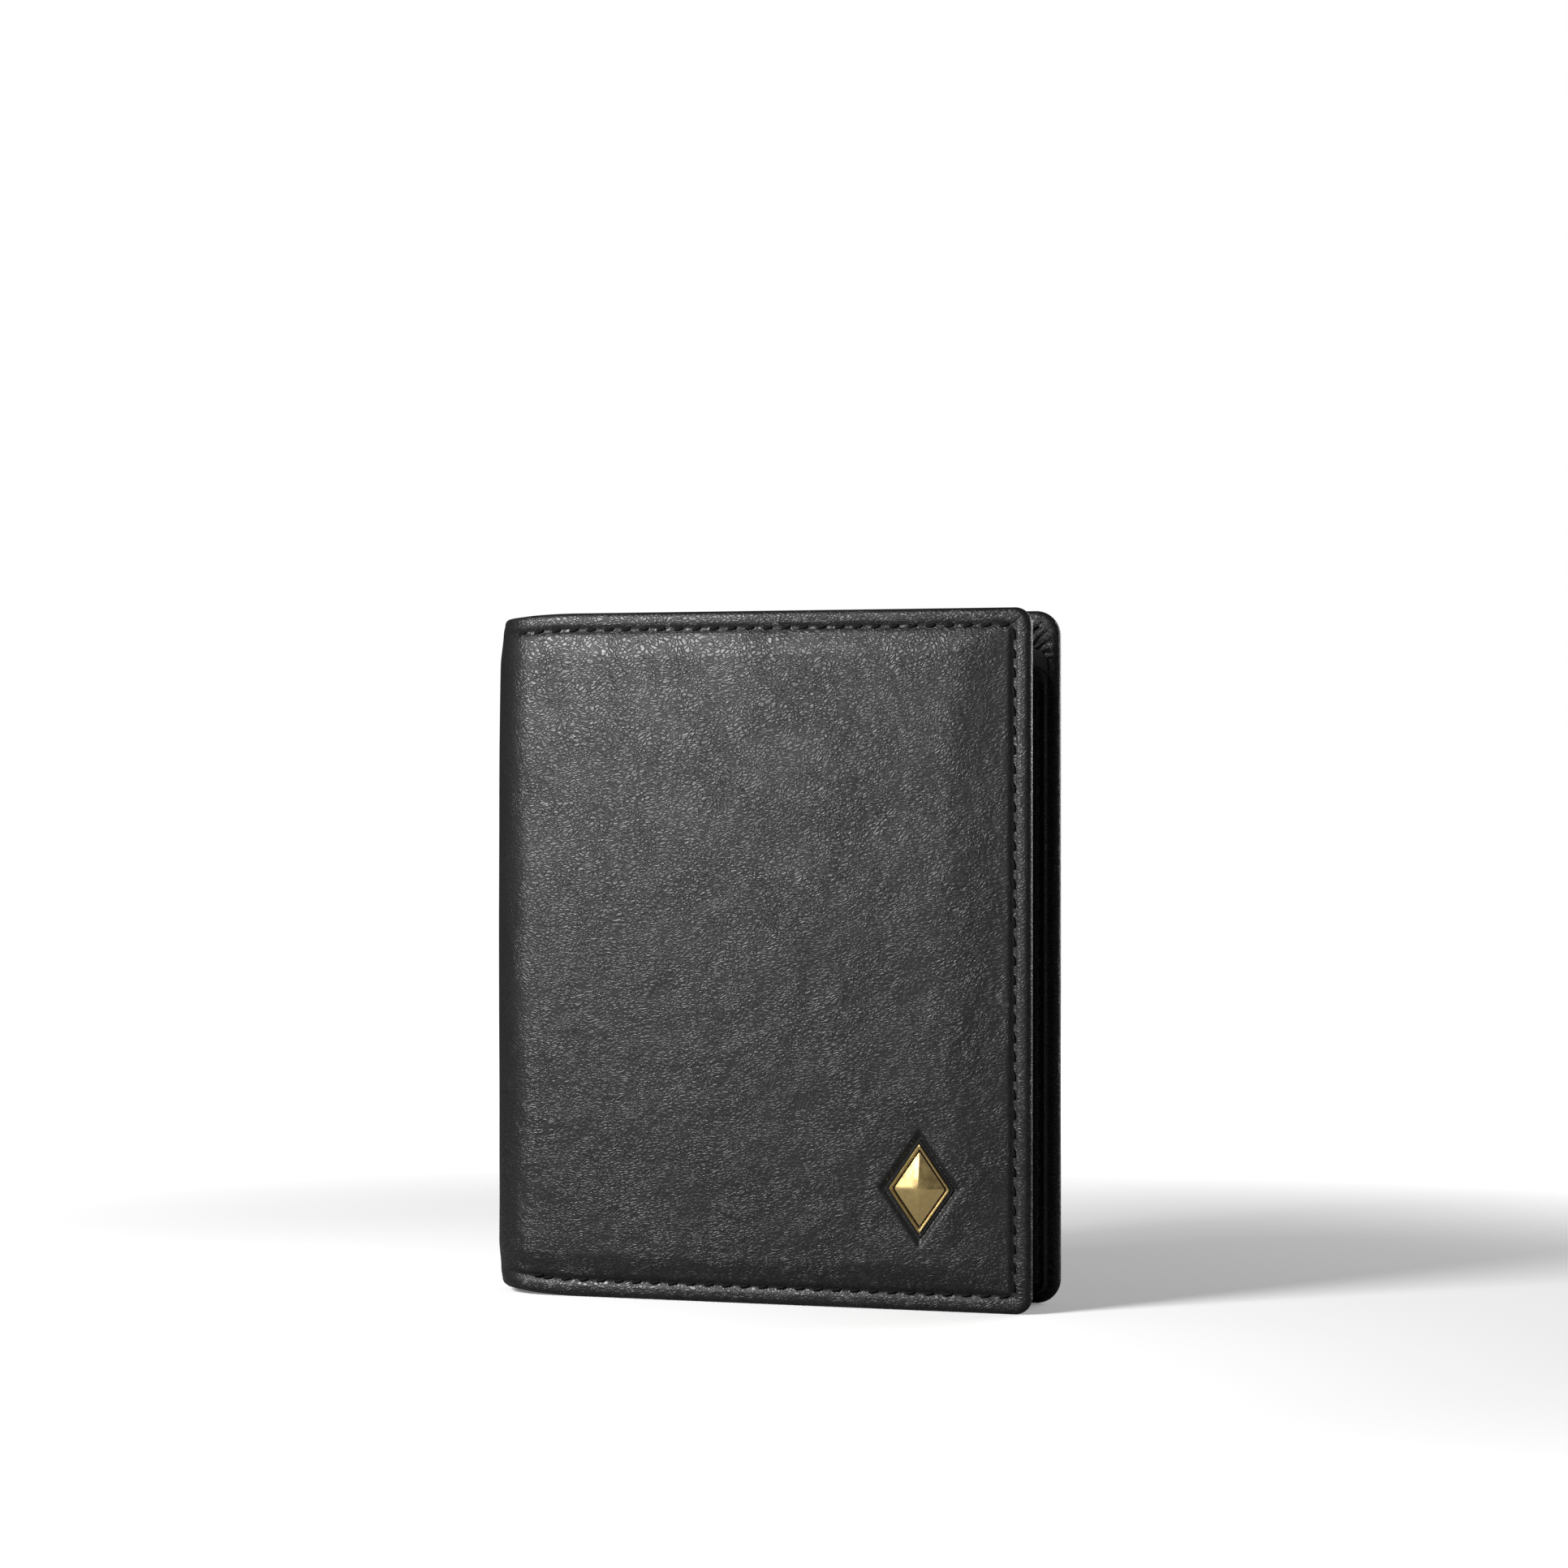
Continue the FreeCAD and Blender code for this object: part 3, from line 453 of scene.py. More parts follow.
def leather_shell(name, side, start, end):
    """One stretch of the outer leather with its turned edges, between two runs from the spine's middle."""
    open_end = end >= RUN_END
    stop = end - ROLL if open_end else end
    fine_x = [(start, QUARTER + 2)]
    fine_z = [(0, 9), (HEIGHT - 9, HEIGHT)]
    if open_end:
        fine_x.append((stop - 10, stop))
    if side == FRONT and open_end:
        offset = QUARTER - SPINE_X
        fine_x.append((ORNAMENT_LOW[0] + offset - 3, ORNAMENT_HIGH[0] + offset + 3))
        fine_z.append((ORNAMENT_LOW[2] - 3, ORNAMENT_HIGH[2] + 3))
    step, fine_step = 0.8, 0.26
    xs = lines(start, stop, step, fine_x, fine_step)
    zs = lines(ROLL, HEIGHT - ROLL, step, fine_z, fine_step)
    radius = CORNERS[side] - ROLL if open_end else 0
    ahead, z = round_corners(xs, zs, (0, radius, radius, 0))
    run = side * ahead
    skin = Skin()
    skin.grid(wrap(run, z, leather_depth(run, z)), packed(run, z))

    def edge(bx, bz, nx, nz):
        wx, wz, corner, share = window_point(bx, bz)
        face = leather_depth(side * bx, bz)
        back = hem_depth(side * bx) + pinch(side * bx, bz)
        rows = []
        coords = []

        def add_row(px, pz, depth, reach):
            rows.append(wrap(side * px, pz, depth))
            coords.append(packed(side * (bx + nx * reach), bz + nz * reach))

        for angle in np.linspace(0, math.pi, 11):
            out = ROLL * math.sin(angle) ** 0.85
            depth = (face + back) / 2 - (back - face) / 2 * math.cos(angle)
            add_row(bx + nx * out, bz + nz * out, depth, ROLL * angle)
        for t in np.linspace(0, 1, 18)[1:]:
            px = bx + (wx - bx) * t
            pz = bz + (wz - bz) * t
            swell = math.sin(math.pi * min(t * 1.15, 1)) ** 0.7
            fold = np.abs(np.cos(share * math.pi * 7.5 + 0.5 * np.sin(9 * t)))
            pleats = np.where(corner, swell * (0.55 * fold ** 1.5 - 0.30), 0)
            wave = 0.05 * field(px, pz, 3, 21) - 0.18 * smooth((t - 0.85) / 0.15)
            pleats = pleats * smooth(share * 8) * smooth((1 - share) * 8)
            depth = hem_depth(side * px) + pleats + wave + pinch(side * px, pz)
            add_row(px, pz, depth, ROLL * math.pi + t * HEM_WIDTH)
        skin.grid(np.array(rows), np.array(coords))

    if open_end:
        bx = np.concatenate([ahead[:-1, 0], ahead[-1, :-1], ahead[::-1, -1]])
        bz = np.concatenate([z[:-1, 0], z[-1, :-1], z[::-1, -1]])
        tx = np.gradient(bx)
        tz = np.gradient(bz)
        length = np.hypot(tx, tz)
        edge(bx, bz, tz / length, -tx / length)
    else:
        one = np.ones(len(xs))
        edge(xs, one * ROLL, 0 * one, -one)
        edge(xs, one * (HEIGHT - ROLL), 0 * one, one)
    obj = skin.build(name, outward=(0, side, 0) if open_end else (-1, side * 0.1, 0))
    return shade(thicken(obj, LEATHER), OUTER, 60)


JUST_OFF = 1e-6


def run_point(run):
    """Point on the outer leather at mid height, in metres; run may not be exactly 0."""
    return Vector(wrap(run, HEIGHT / 2, 0.0) * MM)


def bend_round_spine(obj, side, at_cover):
    """Bakes a piece's transform into its mesh; the spine points it works out are not used."""
    bend = run_point(side * STRIP_MID)
    if at_cover:
        run_point(side * QUARTER)
        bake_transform(obj)
    else:
        run_point(side * JUST_OFF)
        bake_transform(obj)


# ---------------------------------------------------------------- stitches

def stitch_chain(skin, path, normals, lean=0.2, lift=0.08, radius=0.33, pitch=3.3, length=2.2):
    """Stitches along a path over a surface, each one arched, slanted and sunk at both ends."""
    step = np.linalg.norm(np.diff(path, axis=0), axis=1)
    place = np.concatenate([[0], np.cumsum(step)])
    count = max(1, round(place[-1] / pitch))
    gap = place[-1] / count
    u = np.linspace(-1, 1, 9)
    for k in range(count):
        at = (k + 0.5) * gap + u * length / 2
        centre = np.stack([np.interp(at, place, path[:, c]) for c in range(3)], -1)
        normal = np.stack([np.interp(at, place, normals[:, c]) for c in range(3)], -1)
        normal /= np.linalg.norm(normal, axis=1)[:, None]
        along = centre[-1] - centre[0]
        along = along / np.linalg.norm(along)
        across = np.cross(normal, along)
        height = lift - (lift + 0.34) * np.abs(u) ** 3
        centre = centre + normal * height[:, None] + across * (lean * u)[:, None]
        tube(skin, centre, across, normal, radius * (1 - 0.45 * np.abs(u) ** 5))


def dense(points, step):
    """Coordinates of points every step or so along straight rows through a few corner points."""
    parts = [[], []]
    for first, last in zip(points, points[1:]):
        count = max(2, int(math.dist(first, last) / step))
        for part, a, b in zip(parts, first, last):
            part.append(np.linspace(a, b, count))
    return np.concatenate(parts[0]), np.concatenate(parts[1])


def leather_path(side, points):
    """Path and normals over the outer leather through (run ahead, z) points."""
    ahead, z = dense(points, 0.4)
    run = side * ahead
    path = wrap(run, z, leather_depth(run, z))
    return path, wrap(run, z, -1.0) - wrap(run, z, 0.0)


def flat_path(side, points, depth):
    """Path and normals over an inner face of a cover through (x, z) points."""
    x, z = dense(points, 0.5)
    return on_side(side)(x, z, depth(x, z)), np.tile((0.0, -side, 0.0), (len(x), 1))


def seam(name, paths, **stitch):
    """Piece with a row of stitches along each path. A path is its points and their normals."""
    skin = Skin()
    for path in paths:
        stitch_chain(skin, *path, **stitch)
    return seam_piece(name, skin)


def seam_piece(name, skin):
    """The piece that a skin of stitches makes."""
    obj = shade(skin.build(name), THREAD, 80)
    return obj


def cover_stitches(side):
    """Outer row of the perimeter seam of one cover, with a doubled stitch where it starts."""
    skin = Skin()
    far = RUN_END - SEAM
    top = HEIGHT - SEAM
    low_start = QUARTER + 0.6
    high_start = QUARTER - 4.9
    corners = ((low_start, SEAM), (far, SEAM), (far, top), (high_start, top))
    for row in zip(corners, corners[1:]):
        stitch_chain(skin, *leather_path(side, row))
    start = ((low_start - 1.6, SEAM + 0.25), (low_start + 1.4, SEAM + 0.25))
    stitch_chain(skin, *leather_path(side, start), lift=0.25)
    obj = seam_piece(SIDE_NAMES[side] + "_outer_stitches", skin)
    bend_round_spine(obj, side, True)
    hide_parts(SIDE_NAMES[side] + "_seam_thread")


# ---------------------------------------------------------------- inside layers

def page_face(face, seed):
    """Depth of a page's visible face: sunk along its two sewn edges, softly wavy elsewhere."""
    right = RIGHT - SEAM

    def depth(x, z):
        upright = pressed(x, right, 0.26, 0.6) * (z > SEAM)
        level = pressed(z, SEAM, 0.26, 0.6) * (x < right)
        return face - upright - level + 0.05 * field(x, z, 12, seed) - 0.05
    return depth


def page(side):
    """Inner page with its thick sewn rim; gives the depth function of its face."""
    name = SIDE_NAMES[side]
    low, high, rim, inner = layer(name + "_page_leather")

    def back(x, z):
        edge = np.minimum(high[0] - x, z - low[1])
        return rim + 0.02 + (inner - 0.7 - rim) * smooth((edge - 3.5) / 2.5)

    face = page_face(inner, 31 + side)
    obj = sheet(name + "_page", low, high, (1, 2, 2.5, 1), back, face, on_side(side), INNER, edge=0.42)
    belongs(obj, name + "_cover", "inner_leather", name + "_page_leather")
    return face


def divider(side):
    """Partition between the two note compartments."""
    name = SIDE_NAMES[side]
    low, high, outer, inner = layer(name + "_note_divider")

    def lean(x, z):
        return 0.25 * smooth((z - 60) / 50) * (0.6 + 0.4 * field(x, z, 25, 41 + side))

    obj = sheet(
        name + "_divider", low, high, (1, 2, 2.5, 1), lambda x, z: outer + 0.02 + lean(x, z),
        lambda x, z: inner - 0.02 + lean(x, z), on_side(side), CLOTH,
    )
    belongs(obj, name + "_cover", "lining_cloth", name + "_note_divider")


def lining_depth(run):
    """Depth of the lining's visible face."""
    return 1.35 + (BOARD_IN + 0.28 - 1.35) * smooth((np.abs(run) - STRIP_MID) / 5)


def lining(name, side, start, end):
    """One stretch of the cloth between the hems, from the spine's middle outwards."""
    gap = HEM_WIDTH + 0.12
    zs = lines(gap, HEIGHT - gap, 1.6)
    xs = lines(start, min(end, RUN_END - gap), 1.2, ((start, QUARTER),), 0.4)
    ahead, z = np.meshgrid(xs, zs, indexing="ij")
    run = side * ahead
    depth = lining_depth(run) + 0.03 * field(run, z, 9, 51)
    skin = Skin()
    skin.grid(wrap(run, z, depth), packed(run, z))
    obj = skin.build(name, outward=(0, -side, 0) if end > QUARTER else (1, 0, 0))
    return shade(thicken(obj, CLOTH_THICKNESS), CLOTH, 60)


def card_strip(node, side):
    """Leather strip of a card slot, with an embossed line under its turned top edge."""
    low, high, _, face = layer(node)
    middle = (low[0] + high[0]) / 2
    half = (high[0] - low[0]) / 2

    def bow(x, z):
        across = 1 - ((x - middle) / half) ** 2
        return -0.05 + 0.12 * across * smooth((z - high[1] + 9) / 9)

    obj = sheet(
        node + "_strip", low, high, (0.6, 0.6, 1.2, 1.2), lambda x, z: face - LEATHER + bow(x, z) + 0.04,
        lambda x, z: face + bow(x, z) - pressed(high[1] - z, 1.7, 0.14), on_side(side), INNER, fine=0.22,
    )
    belongs(obj, SIDE_NAMES[side] + "_cover", "inner_leather", node)


# ---------------------------------------------------------------- materials

class Nodes:
    """A material's node tree. Each call adds a node and gives one of its output sockets."""

    def __init__(self, name):
        self.material = bpy.data.materials.new(name)
        self.material.use_nodes = True
        self.tree = self.material.node_tree
        self.shader = self.tree.nodes["Principled BSDF"]

    def feed(self, node, inputs):
        """Sets a node's inputs, each to a value or to another node's output."""
        for key, value in inputs.items():
            if isinstance(value, bpy.types.NodeSocket):
                self.tree.links.new(value, node.inputs[key])
            else:
                node.inputs[key].default_value = value

    def add(self, kind, inputs, out=0, **settings):
        node = self.tree.nodes.new("ShaderNode" + kind)
        for key, value in settings.items():
            setattr(node, key, value)
        self.feed(node, inputs)
        return node.outputs[out]

    def surface(self):
        """Surface coordinates in millimetres."""
        coords = self.add("UVMap", {}, uv_map="surface")
        return self.add("VectorMath", {0: coords, "Scale": 1 / MM}, operation="SCALE")

    def space(self):
        """Coordinates in the part's own frame, in metres."""
        return self.add("TexCoord", {}, "Object")

    def noise(self, place, scale, detail=2.0, rough=0.5, twist=0.0, out="Fac"):
        inputs = {"Scale": scale, "Detail": detail, "Roughness": rough, "Distortion": twist}
        if place is not None:
            inputs["Vector"] = place
        return self.add("TexNoise", inputs, out)

    def wave(self, place, scale, distortion, across="X", detail_scale=1.0):
        inputs = {"Vector": place, "Scale": scale, "Distortion": distortion, "Detail Scale": detail_scale}
        return self.add("TexWave", inputs, "Fac", bands_direction=across)

    def math(self, operation, *terms):
        return self.add("Math", dict(enumerate(terms)), operation=operation)

    def step(self, value, low, high, out_low=0.0, out_high=1.0):
        """Smooth step of a value between two levels."""
        inputs = {"Value": value, "From Min": low, "From Max": high, "To Min": out_low, "To Max": out_high}
        return self.add("MapRange", inputs, interpolation_type="SMOOTHSTEP")

    def ramp(self, value, low, high, low_colour, high_colour):
        """Colour between two stops."""
        socket = self.add("ValToRGB", {"Fac": value})
        stops = socket.node.color_ramp.elements
        for stop, place, colour in zip(stops, (low, high), (low_colour, high_colour)):
            stop.position = place
            stop.color = colour
        return socket

    def bump(self, height, strength, distance_mm):
        inputs = {"Height": height, "Strength": strength, "Distance": distance_mm * MM}
        self.finish({"Normal": self.add("Bump", inputs)})

    def finish(self, inputs):
        """Feeds the principled shader, and gives the material."""
        self.feed(self.shader, inputs)
        return self.material


def grey(level, blue=1.0):
    """Neutral colour, with a little more or less blue."""
    return (level, level, level * blue, 1)


def leather_material(name, dark, light, rough, cells_per_mm, depth):
    """Fine grained leather: plump cells between creases, short winding wrinkles, pores, uneven gloss and
    painted shade in the creases.
    """
    nodes = Nodes(name)
    place = nodes.surface()
    warp = nodes.noise(place, 0.16, 3.0, out="Color")
    shift = nodes.add("VectorMath", {0: warp, 1: (5.0, 5.0, 0), 2: place}, operation="MULTIPLY_ADD")
    scale = (cells_per_mm, cells_per_mm * 1.9, 1)
    stretch = nodes.add("Mapping", {"Vector": shift, "Rotation": (0, 0, math.radians(-8)), "Scale": scale})
    cells = nodes.add("TexVoronoi", {"Vector": stretch, "Scale": 1.0}, "Distance", feature="DISTANCE_TO_EDGE")
    plump = nodes.step(cells, 0.0, 0.28)
    wrinkle = nodes.noise(stretch, 0.75, 3.0, 0.55, 0.6)
    folds = nodes.step(nodes.math("ABSOLUTE", nodes.math("SUBTRACT", wrinkle, 0.5)), 0.0, 0.09)
    creases = nodes.math("MULTIPLY_ADD", folds, 0.22, nodes.math("MULTIPLY", plump, 0.78))
    strength = nodes.step(nodes.noise(place, 0.09), 0.3, 0.7, 0.6, 1.15)
    height = nodes.math("MULTIPLY", creases, strength)
    nodes.bump(nodes.math("MULTIPLY_ADD", nodes.noise(place, 5.5), 0.25, height), 1.0, depth)
    colour = nodes.ramp(nodes.noise(place, 0.05, 4.0), 0.3, 0.75, dark, light)
    # Painted shade: the base colour is darkened in the creases, on top of the leather's own mottled tone.
    shadow = nodes.ramp(creases, 0.1, 0.7, grey(0.6), grey(1))
    tone_with_crease_shade = nodes.add("Mix", {0: 1.0, 6: colour, 7: shadow}, 2, data_type="RGBA", blend_type="MULTIPLY")
    return nodes.finish({
        "Base Color": tone_with_crease_shade,
        "Roughness": nodes.step(creases, 0.0, 1.0, rough + 0.14, rough - 0.04),
        "Specular IOR Level": nodes.step(creases, 0.1, 0.8, 0.275, 0.5),
    })


def cloth_material(name, dark, light, pitch):
    """Plain weave: two crossed waves with fibre noise."""
    nodes = Nodes(name)
    place = nodes.surface()
    warp, weft = (nodes.wave(place, 1 / pitch, 0.6, across, 0.4) for across in ("X", "Y"))
    weave = nodes.math("MULTIPLY", warp, weft)
    total = nodes.math("MULTIPLY_ADD", nodes.noise(place, 6.0, 4.0), 0.4, weave)
    nodes.bump(total, 0.8, 0.06)
    colour = nodes.ramp(total, 0.1, 0.9, dark, light)
    return nodes.finish({"Base Color": colour, "Roughness": 0.8, "Sheen Weight": 0.2})


def thread_material(name, level):
    """Waxed thread: slanting plies with a faint shine."""
    nodes = Nodes(name)
    turn = nodes.add("Mapping", {"Vector": nodes.surface(), "Rotation": (0, 0, math.radians(35))})
    ply = nodes.wave(turn, 1.4, 0.8)
    nodes.bump(ply, 0.7, 0.05)
    colour = nodes.ramp(ply, 0.0, 1.0, grey(level / 2), grey(level, 1.05))
    return nodes.finish({"Base Color": colour, "Roughness": 0.55, "Specular IOR Level": 0.12})


def metal_material(name, colour, rough, brushed):
    """Metal with fine scratches and slight colour change."""
    nodes = Nodes(name)
    stretch = nodes.add("Mapping", {"Vector": nodes.space(), "Scale": (1, 1, brushed)})
    scratch = nodes.noise(stretch, 900.0, 4.0)
    nodes.bump(scratch, 0.08, 0.02)
    dim = tuple(c * 0.93 for c in colour[:3]) + (1,)
    gloss = nodes.add("MapRange", {"Value": scratch, "To Min": rough - 0.06, "To Max": rough + 0.1})
    tone = nodes.ramp(scratch, 0.3, 0.7, dim, colour)
    return nodes.finish({"Base Color": tone, "Roughness": gloss, "Metallic": 1.0})


def plain_grain_material(name, dark, light, scale, rough, bump_mm):
    """Board, foam or enamel: mottled by one noise, with a fine bump."""
    nodes = Nodes(name)
    grain = nodes.noise(nodes.space(), scale, 5.0, 0.65)
    nodes.bump(grain, 0.6, bump_mm)
    return nodes.finish({"Base Color": nodes.ramp(grain, 0.3, 0.7, dark, light), "Roughness": rough})


def film_material(name):
    """Clear film, a little cloudy, with a gloss that shows its waviness."""
    nodes = Nodes(name)
    grain = nodes.noise(None, 90.0, 3.0)
    nodes.bump(grain, 0.3, 0.3)
    tone = nodes.ramp(grain, 0.3, 0.7, (0.60, 0.62, 0.63, 1), (0.75, 0.77, 0.78, 1))
    return nodes.finish({"Base Color": tone, "Roughness": 0.12, "Alpha": 0.16})


OUTER = leather_material("outer_leather", grey(0.008, 1.06), grey(0.012, 1.04), 0.37, 1.15, 0.05)
INNER = leather_material("inner_leather", grey(0.004), grey(0.009, 1.1), 0.34, 1.3, 0.05)
CLOTH = cloth_material("lining_cloth", grey(0.004, 1.25), grey(0.022, 1.09), 0.55)
THREAD = thread_material("thread", 0.004)
GOLD = metal_material("gold_metal", (0.83, 0.62, 0.27, 1), 0.24, 1)
STEEL = metal_material("steel", (0.62, 0.62, 0.61, 1), 0.3, 8)
ENAMEL = plain_grain_material("dark_enamel", grey(0.004), grey(0.010), 2500, 0.25, 0.004)
BOARD = plain_grain_material("board", (0.20, 0.15, 0.10, 1), (0.34, 0.27, 0.19, 1), 1500, 0.85, 0.05)
FOAM = plain_grain_material("padding", grey(0.12), grey(0.22), 4000, 0.95, 0.1)
FILM = film_material("clear_film")


# ---------------------------------------------------------------- covers and spine

def build_outside():
    """Leather shells, spine stretches, linings and the outer seams."""
    for side, name in SIDE_NAMES.items():
        shell = leather_shell(name + "_leather", side, STRIP_MID, RUN_END)
        bend_round_spine(shell, side, True)
        stands_for(shell, "outer_leather", name + "_cover_leather", "spine_leather_" + name + "_edge")
        part = leather_shell(name + "_spine_shell", side, 0, STRIP_MID)
        bend_round_spine(part, side, False)
        stands_for(part, "outer_leather", "spine_leather_middle", "spine_leather_" + name + "_inner")
        cloth = lining(name + "_lining", side, STRIP_MID, RUN_END)
        bend_round_spine(cloth, side, True)
        stands_for(cloth, "lining_cloth", name + "_note_lining", "spine_lining_" + name + "_edge")
        cloth = lining(name + "_spine_lining", side, 0, STRIP_MID)
        bend_round_spine(cloth, side, False)
        stands_for(cloth, "lining_cloth", "spine_lining_middle", "spine_lining_" + name + "_inner")
        cover_stitches(side)


def build_pages():
    """Pages, dividers, card strips, and the seams that hold the pages and hems."""
    right = RIGHT - SEAM
    left = SPINE_X - 1.5
    top = HEIGHT - SEAM
    for side, name in SIDE_NAMES.items():
        face = page(side)
        divider(side)
        page_top = layer(name + "_page_leather")[1][1]
        rows = ((right, page_top - 2), (right, SEAM)), ((right, SEAM), (left, SEAM))
        page_rows = [flat_path(side, row, face) for row in rows]
        hem_rows = [flat_path(side, ((left, top), (right, top)), lambda x, z: HEM_FACE)]
        for kind, paths in (("_page", page_rows), ("_hem", hem_rows)):
            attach(seam(name + kind + "_stitches", paths, radius=0.24), name + "_cover")
    for side, count in ((BACK, 4), (FRONT, 2)):
        for index in range(1, count + 1):
            card_strip("%s_card_slot_%d" % (SIDE_NAMES[side], index), side)
    low, high, near, far = layer("back_slot_lining")

    def wave(x, z):
        return 0.01 * field(x, z, 14, 61)

    cloth = sheet(
        "slot_lining", low, high, (1, 1, 1, 1),
        lambda x, z: near + 0.02 + wave(x, z), lambda x, z: far + wave(x, z), on_side(BACK), CLOTH,
    )
    belongs(cloth, "back_cover", "lining_cloth", "back_slot_lining")


# ---------------------------------------------------------------- coin pocket

def lathe(name, centre, profile, material, body, slot, node, closed=False):
    """Round fitting on an axis along Y, from (radius, depth) points; closed makes a ring."""
    turns = np.linspace(0, 2 * math.pi, 49)
    points = list(profile) + ([profile[0]] if closed else [])
    rows = []
    coords = []
    travelled = 0.0
    for before, (radius, depth) in zip([points[0]] + points, points):
        travelled += math.dist(before, (radius, depth))
        x = centre[0] + radius * np.cos(turns)
        z = centre[1] + radius * np.sin(turns)
        rows.append(on_side(FRONT)(x, z, depth))
        coords.append(packed(turns * max(radius, 0.1), travelled))
    belongs(one_grid(name, rows, coords, material, 35), body, slot, node)


def u_path(low, high, radius):
    """Points down one side, round two corners and up the other side of a pouch, with inward directions."""
    points = [(low[0], high[1], 1.0, 0.0), (low[0], low[1] + radius, 1.0, 0.0)]
    for centre, start in ((low[0] + radius, math.pi), (high[0] - radius, 1.5 * math.pi)):
        for angle in np.linspace(start, start + math.pi / 2, 13):
            across, up = math.cos(angle), math.sin(angle)
            points.append((centre + radius * across, low[1] + radius + radius * up, -across, -up))
    points.append((high[0], high[1], -1.0, 0.0))
    return np.array(points).T


def pouch_panel(snap):
    """Front panel of the coin pouch, a little puffed round the press stud."""
    low, high, near, far = layer("coin_pouch_front")
    middle = (low[0] + high[0]) / 2

    def puff(x, z):
        away = smooth((np.hypot(x - snap[0], z - snap[1]) - 5) / 8)
        across = 1 - ((x - middle) / (high[0] - middle)) ** 2
        swell = 0.16 * away * across * smooth((z - low[1]) / 20)
        return swell - 0.04 + 0.05 * away * field(x, z, 11, 71)

    def face(x, z):
        inset = np.minimum(np.minimum(x - low[0], high[0] - x), z - low[1])
        return far + puff(x, z) - pressed(inset, 1.6, 0.15, 0.4) - pressed(high[1] - z, 1.6, 0.12)

    panel = sheet(
        "coin_pouch_panel", low, high, (6, 6, 1.2, 1.2),
        lambda x, z: near + puff(x, z) + 0.04, face, on_side(FRONT), INNER, fine=0.25,
    )
    belongs(panel, "front_cover", "inner_leather", "coin_pouch_front")


def pouch_gusset():
    """Gusset of the coin pouch, folded inwards round three sides."""
    low, high, near, far = layer("coin_pouch_gusset")
    half = (near + far) / 2
    x, z, nx, nz = u_path(low, high, 6.0)
    along = np.cumsum(np.hypot(np.gradient(x), np.gradient(z)))
    section = ((0.1, near), (0.75, half), (0.1, far), (0.4, far), (1.05, half), (0.4, near))
    rows = np.array([on_side(FRONT)(x + nx * t, z + nz * t, y) for t, y in section])
    coords = np.array([packed(along, k * 0.5) for k in range(len(section))])
    ends = [np.repeat(rows.mean(axis=0)[None, c:c + 1], len(section), axis=0) for c in (0, -1)]
    rows = np.concatenate([ends[0], rows, ends[1]], axis=1)
    coords = np.concatenate([coords[:, :1], coords, coords[:, -1:]], axis=1)
    gusset = one_grid("coin_pouch_bellows", rows, coords, INNER, 30, wrap_rows=True)
    belongs(gusset, "front_cover", "inner_leather", "coin_pouch_gusset")


def press_stud(snap):
    """Cap and socket ring on the flap, and the stud on the pouch."""
    cap_face = layer("snap_cap")[3]
    base = layer("coin_flap")[3] + 0.02
    rise = ((0, 0), (2.0, 0), (2.35, 0.05), (2.6, 0.16), (2.85, 0.1), (4.2, 0.12), (4.9, 0.25), (5.35, 0.45))
    cap = [(radius, cap_face - drop) for radius, drop in rise] + [(5.4, base), (0, base)]
    lathe("snap_cap_domed", snap, cap, ENAMEL, "coin_flap", "snap_metal", "snap_cap")
    near, far = layer("snap_socket")[2:]
    drops = ((2.05, 0), (2.5, 0), (3.2, 0.12), (4.4, 0.05), (5.0, 0.2))
    ring = [(radius, near + drop) for radius, drop in drops] + [(5.0, far), (2.05, far)]
    lathe("snap_socket_ring", snap, ring, STEEL, "coin_flap", "steel", "snap_socket", closed=True)
    base, tip = layer("snap_stud")[2:]
    drops = ((0, 0), (1.3, 0), (1.75, 0.1), (1.88, 0.25), (1.7, 0.5), (2.3, 0.56), (4.7, 0.6), (5.0, 0.7))
    stud = [(radius, tip - drop) for radius, drop in drops] + [(5.0, base), (0, base)]
    lathe("snap_stud_post", snap, stud, STEEL, "front_cover", "steel", "snap_stud")


def build_coin_pocket():
    """Pouch with its folded gusset, the flap with its sewn root, and the press stud."""
    snap_low, snap_high = layer("snap_cap")[:2]
    snap = (snap_low + snap_high) / 2
    pouch_panel(snap)
    pouch_gusset()
    build_flap()
    press_stud(snap)


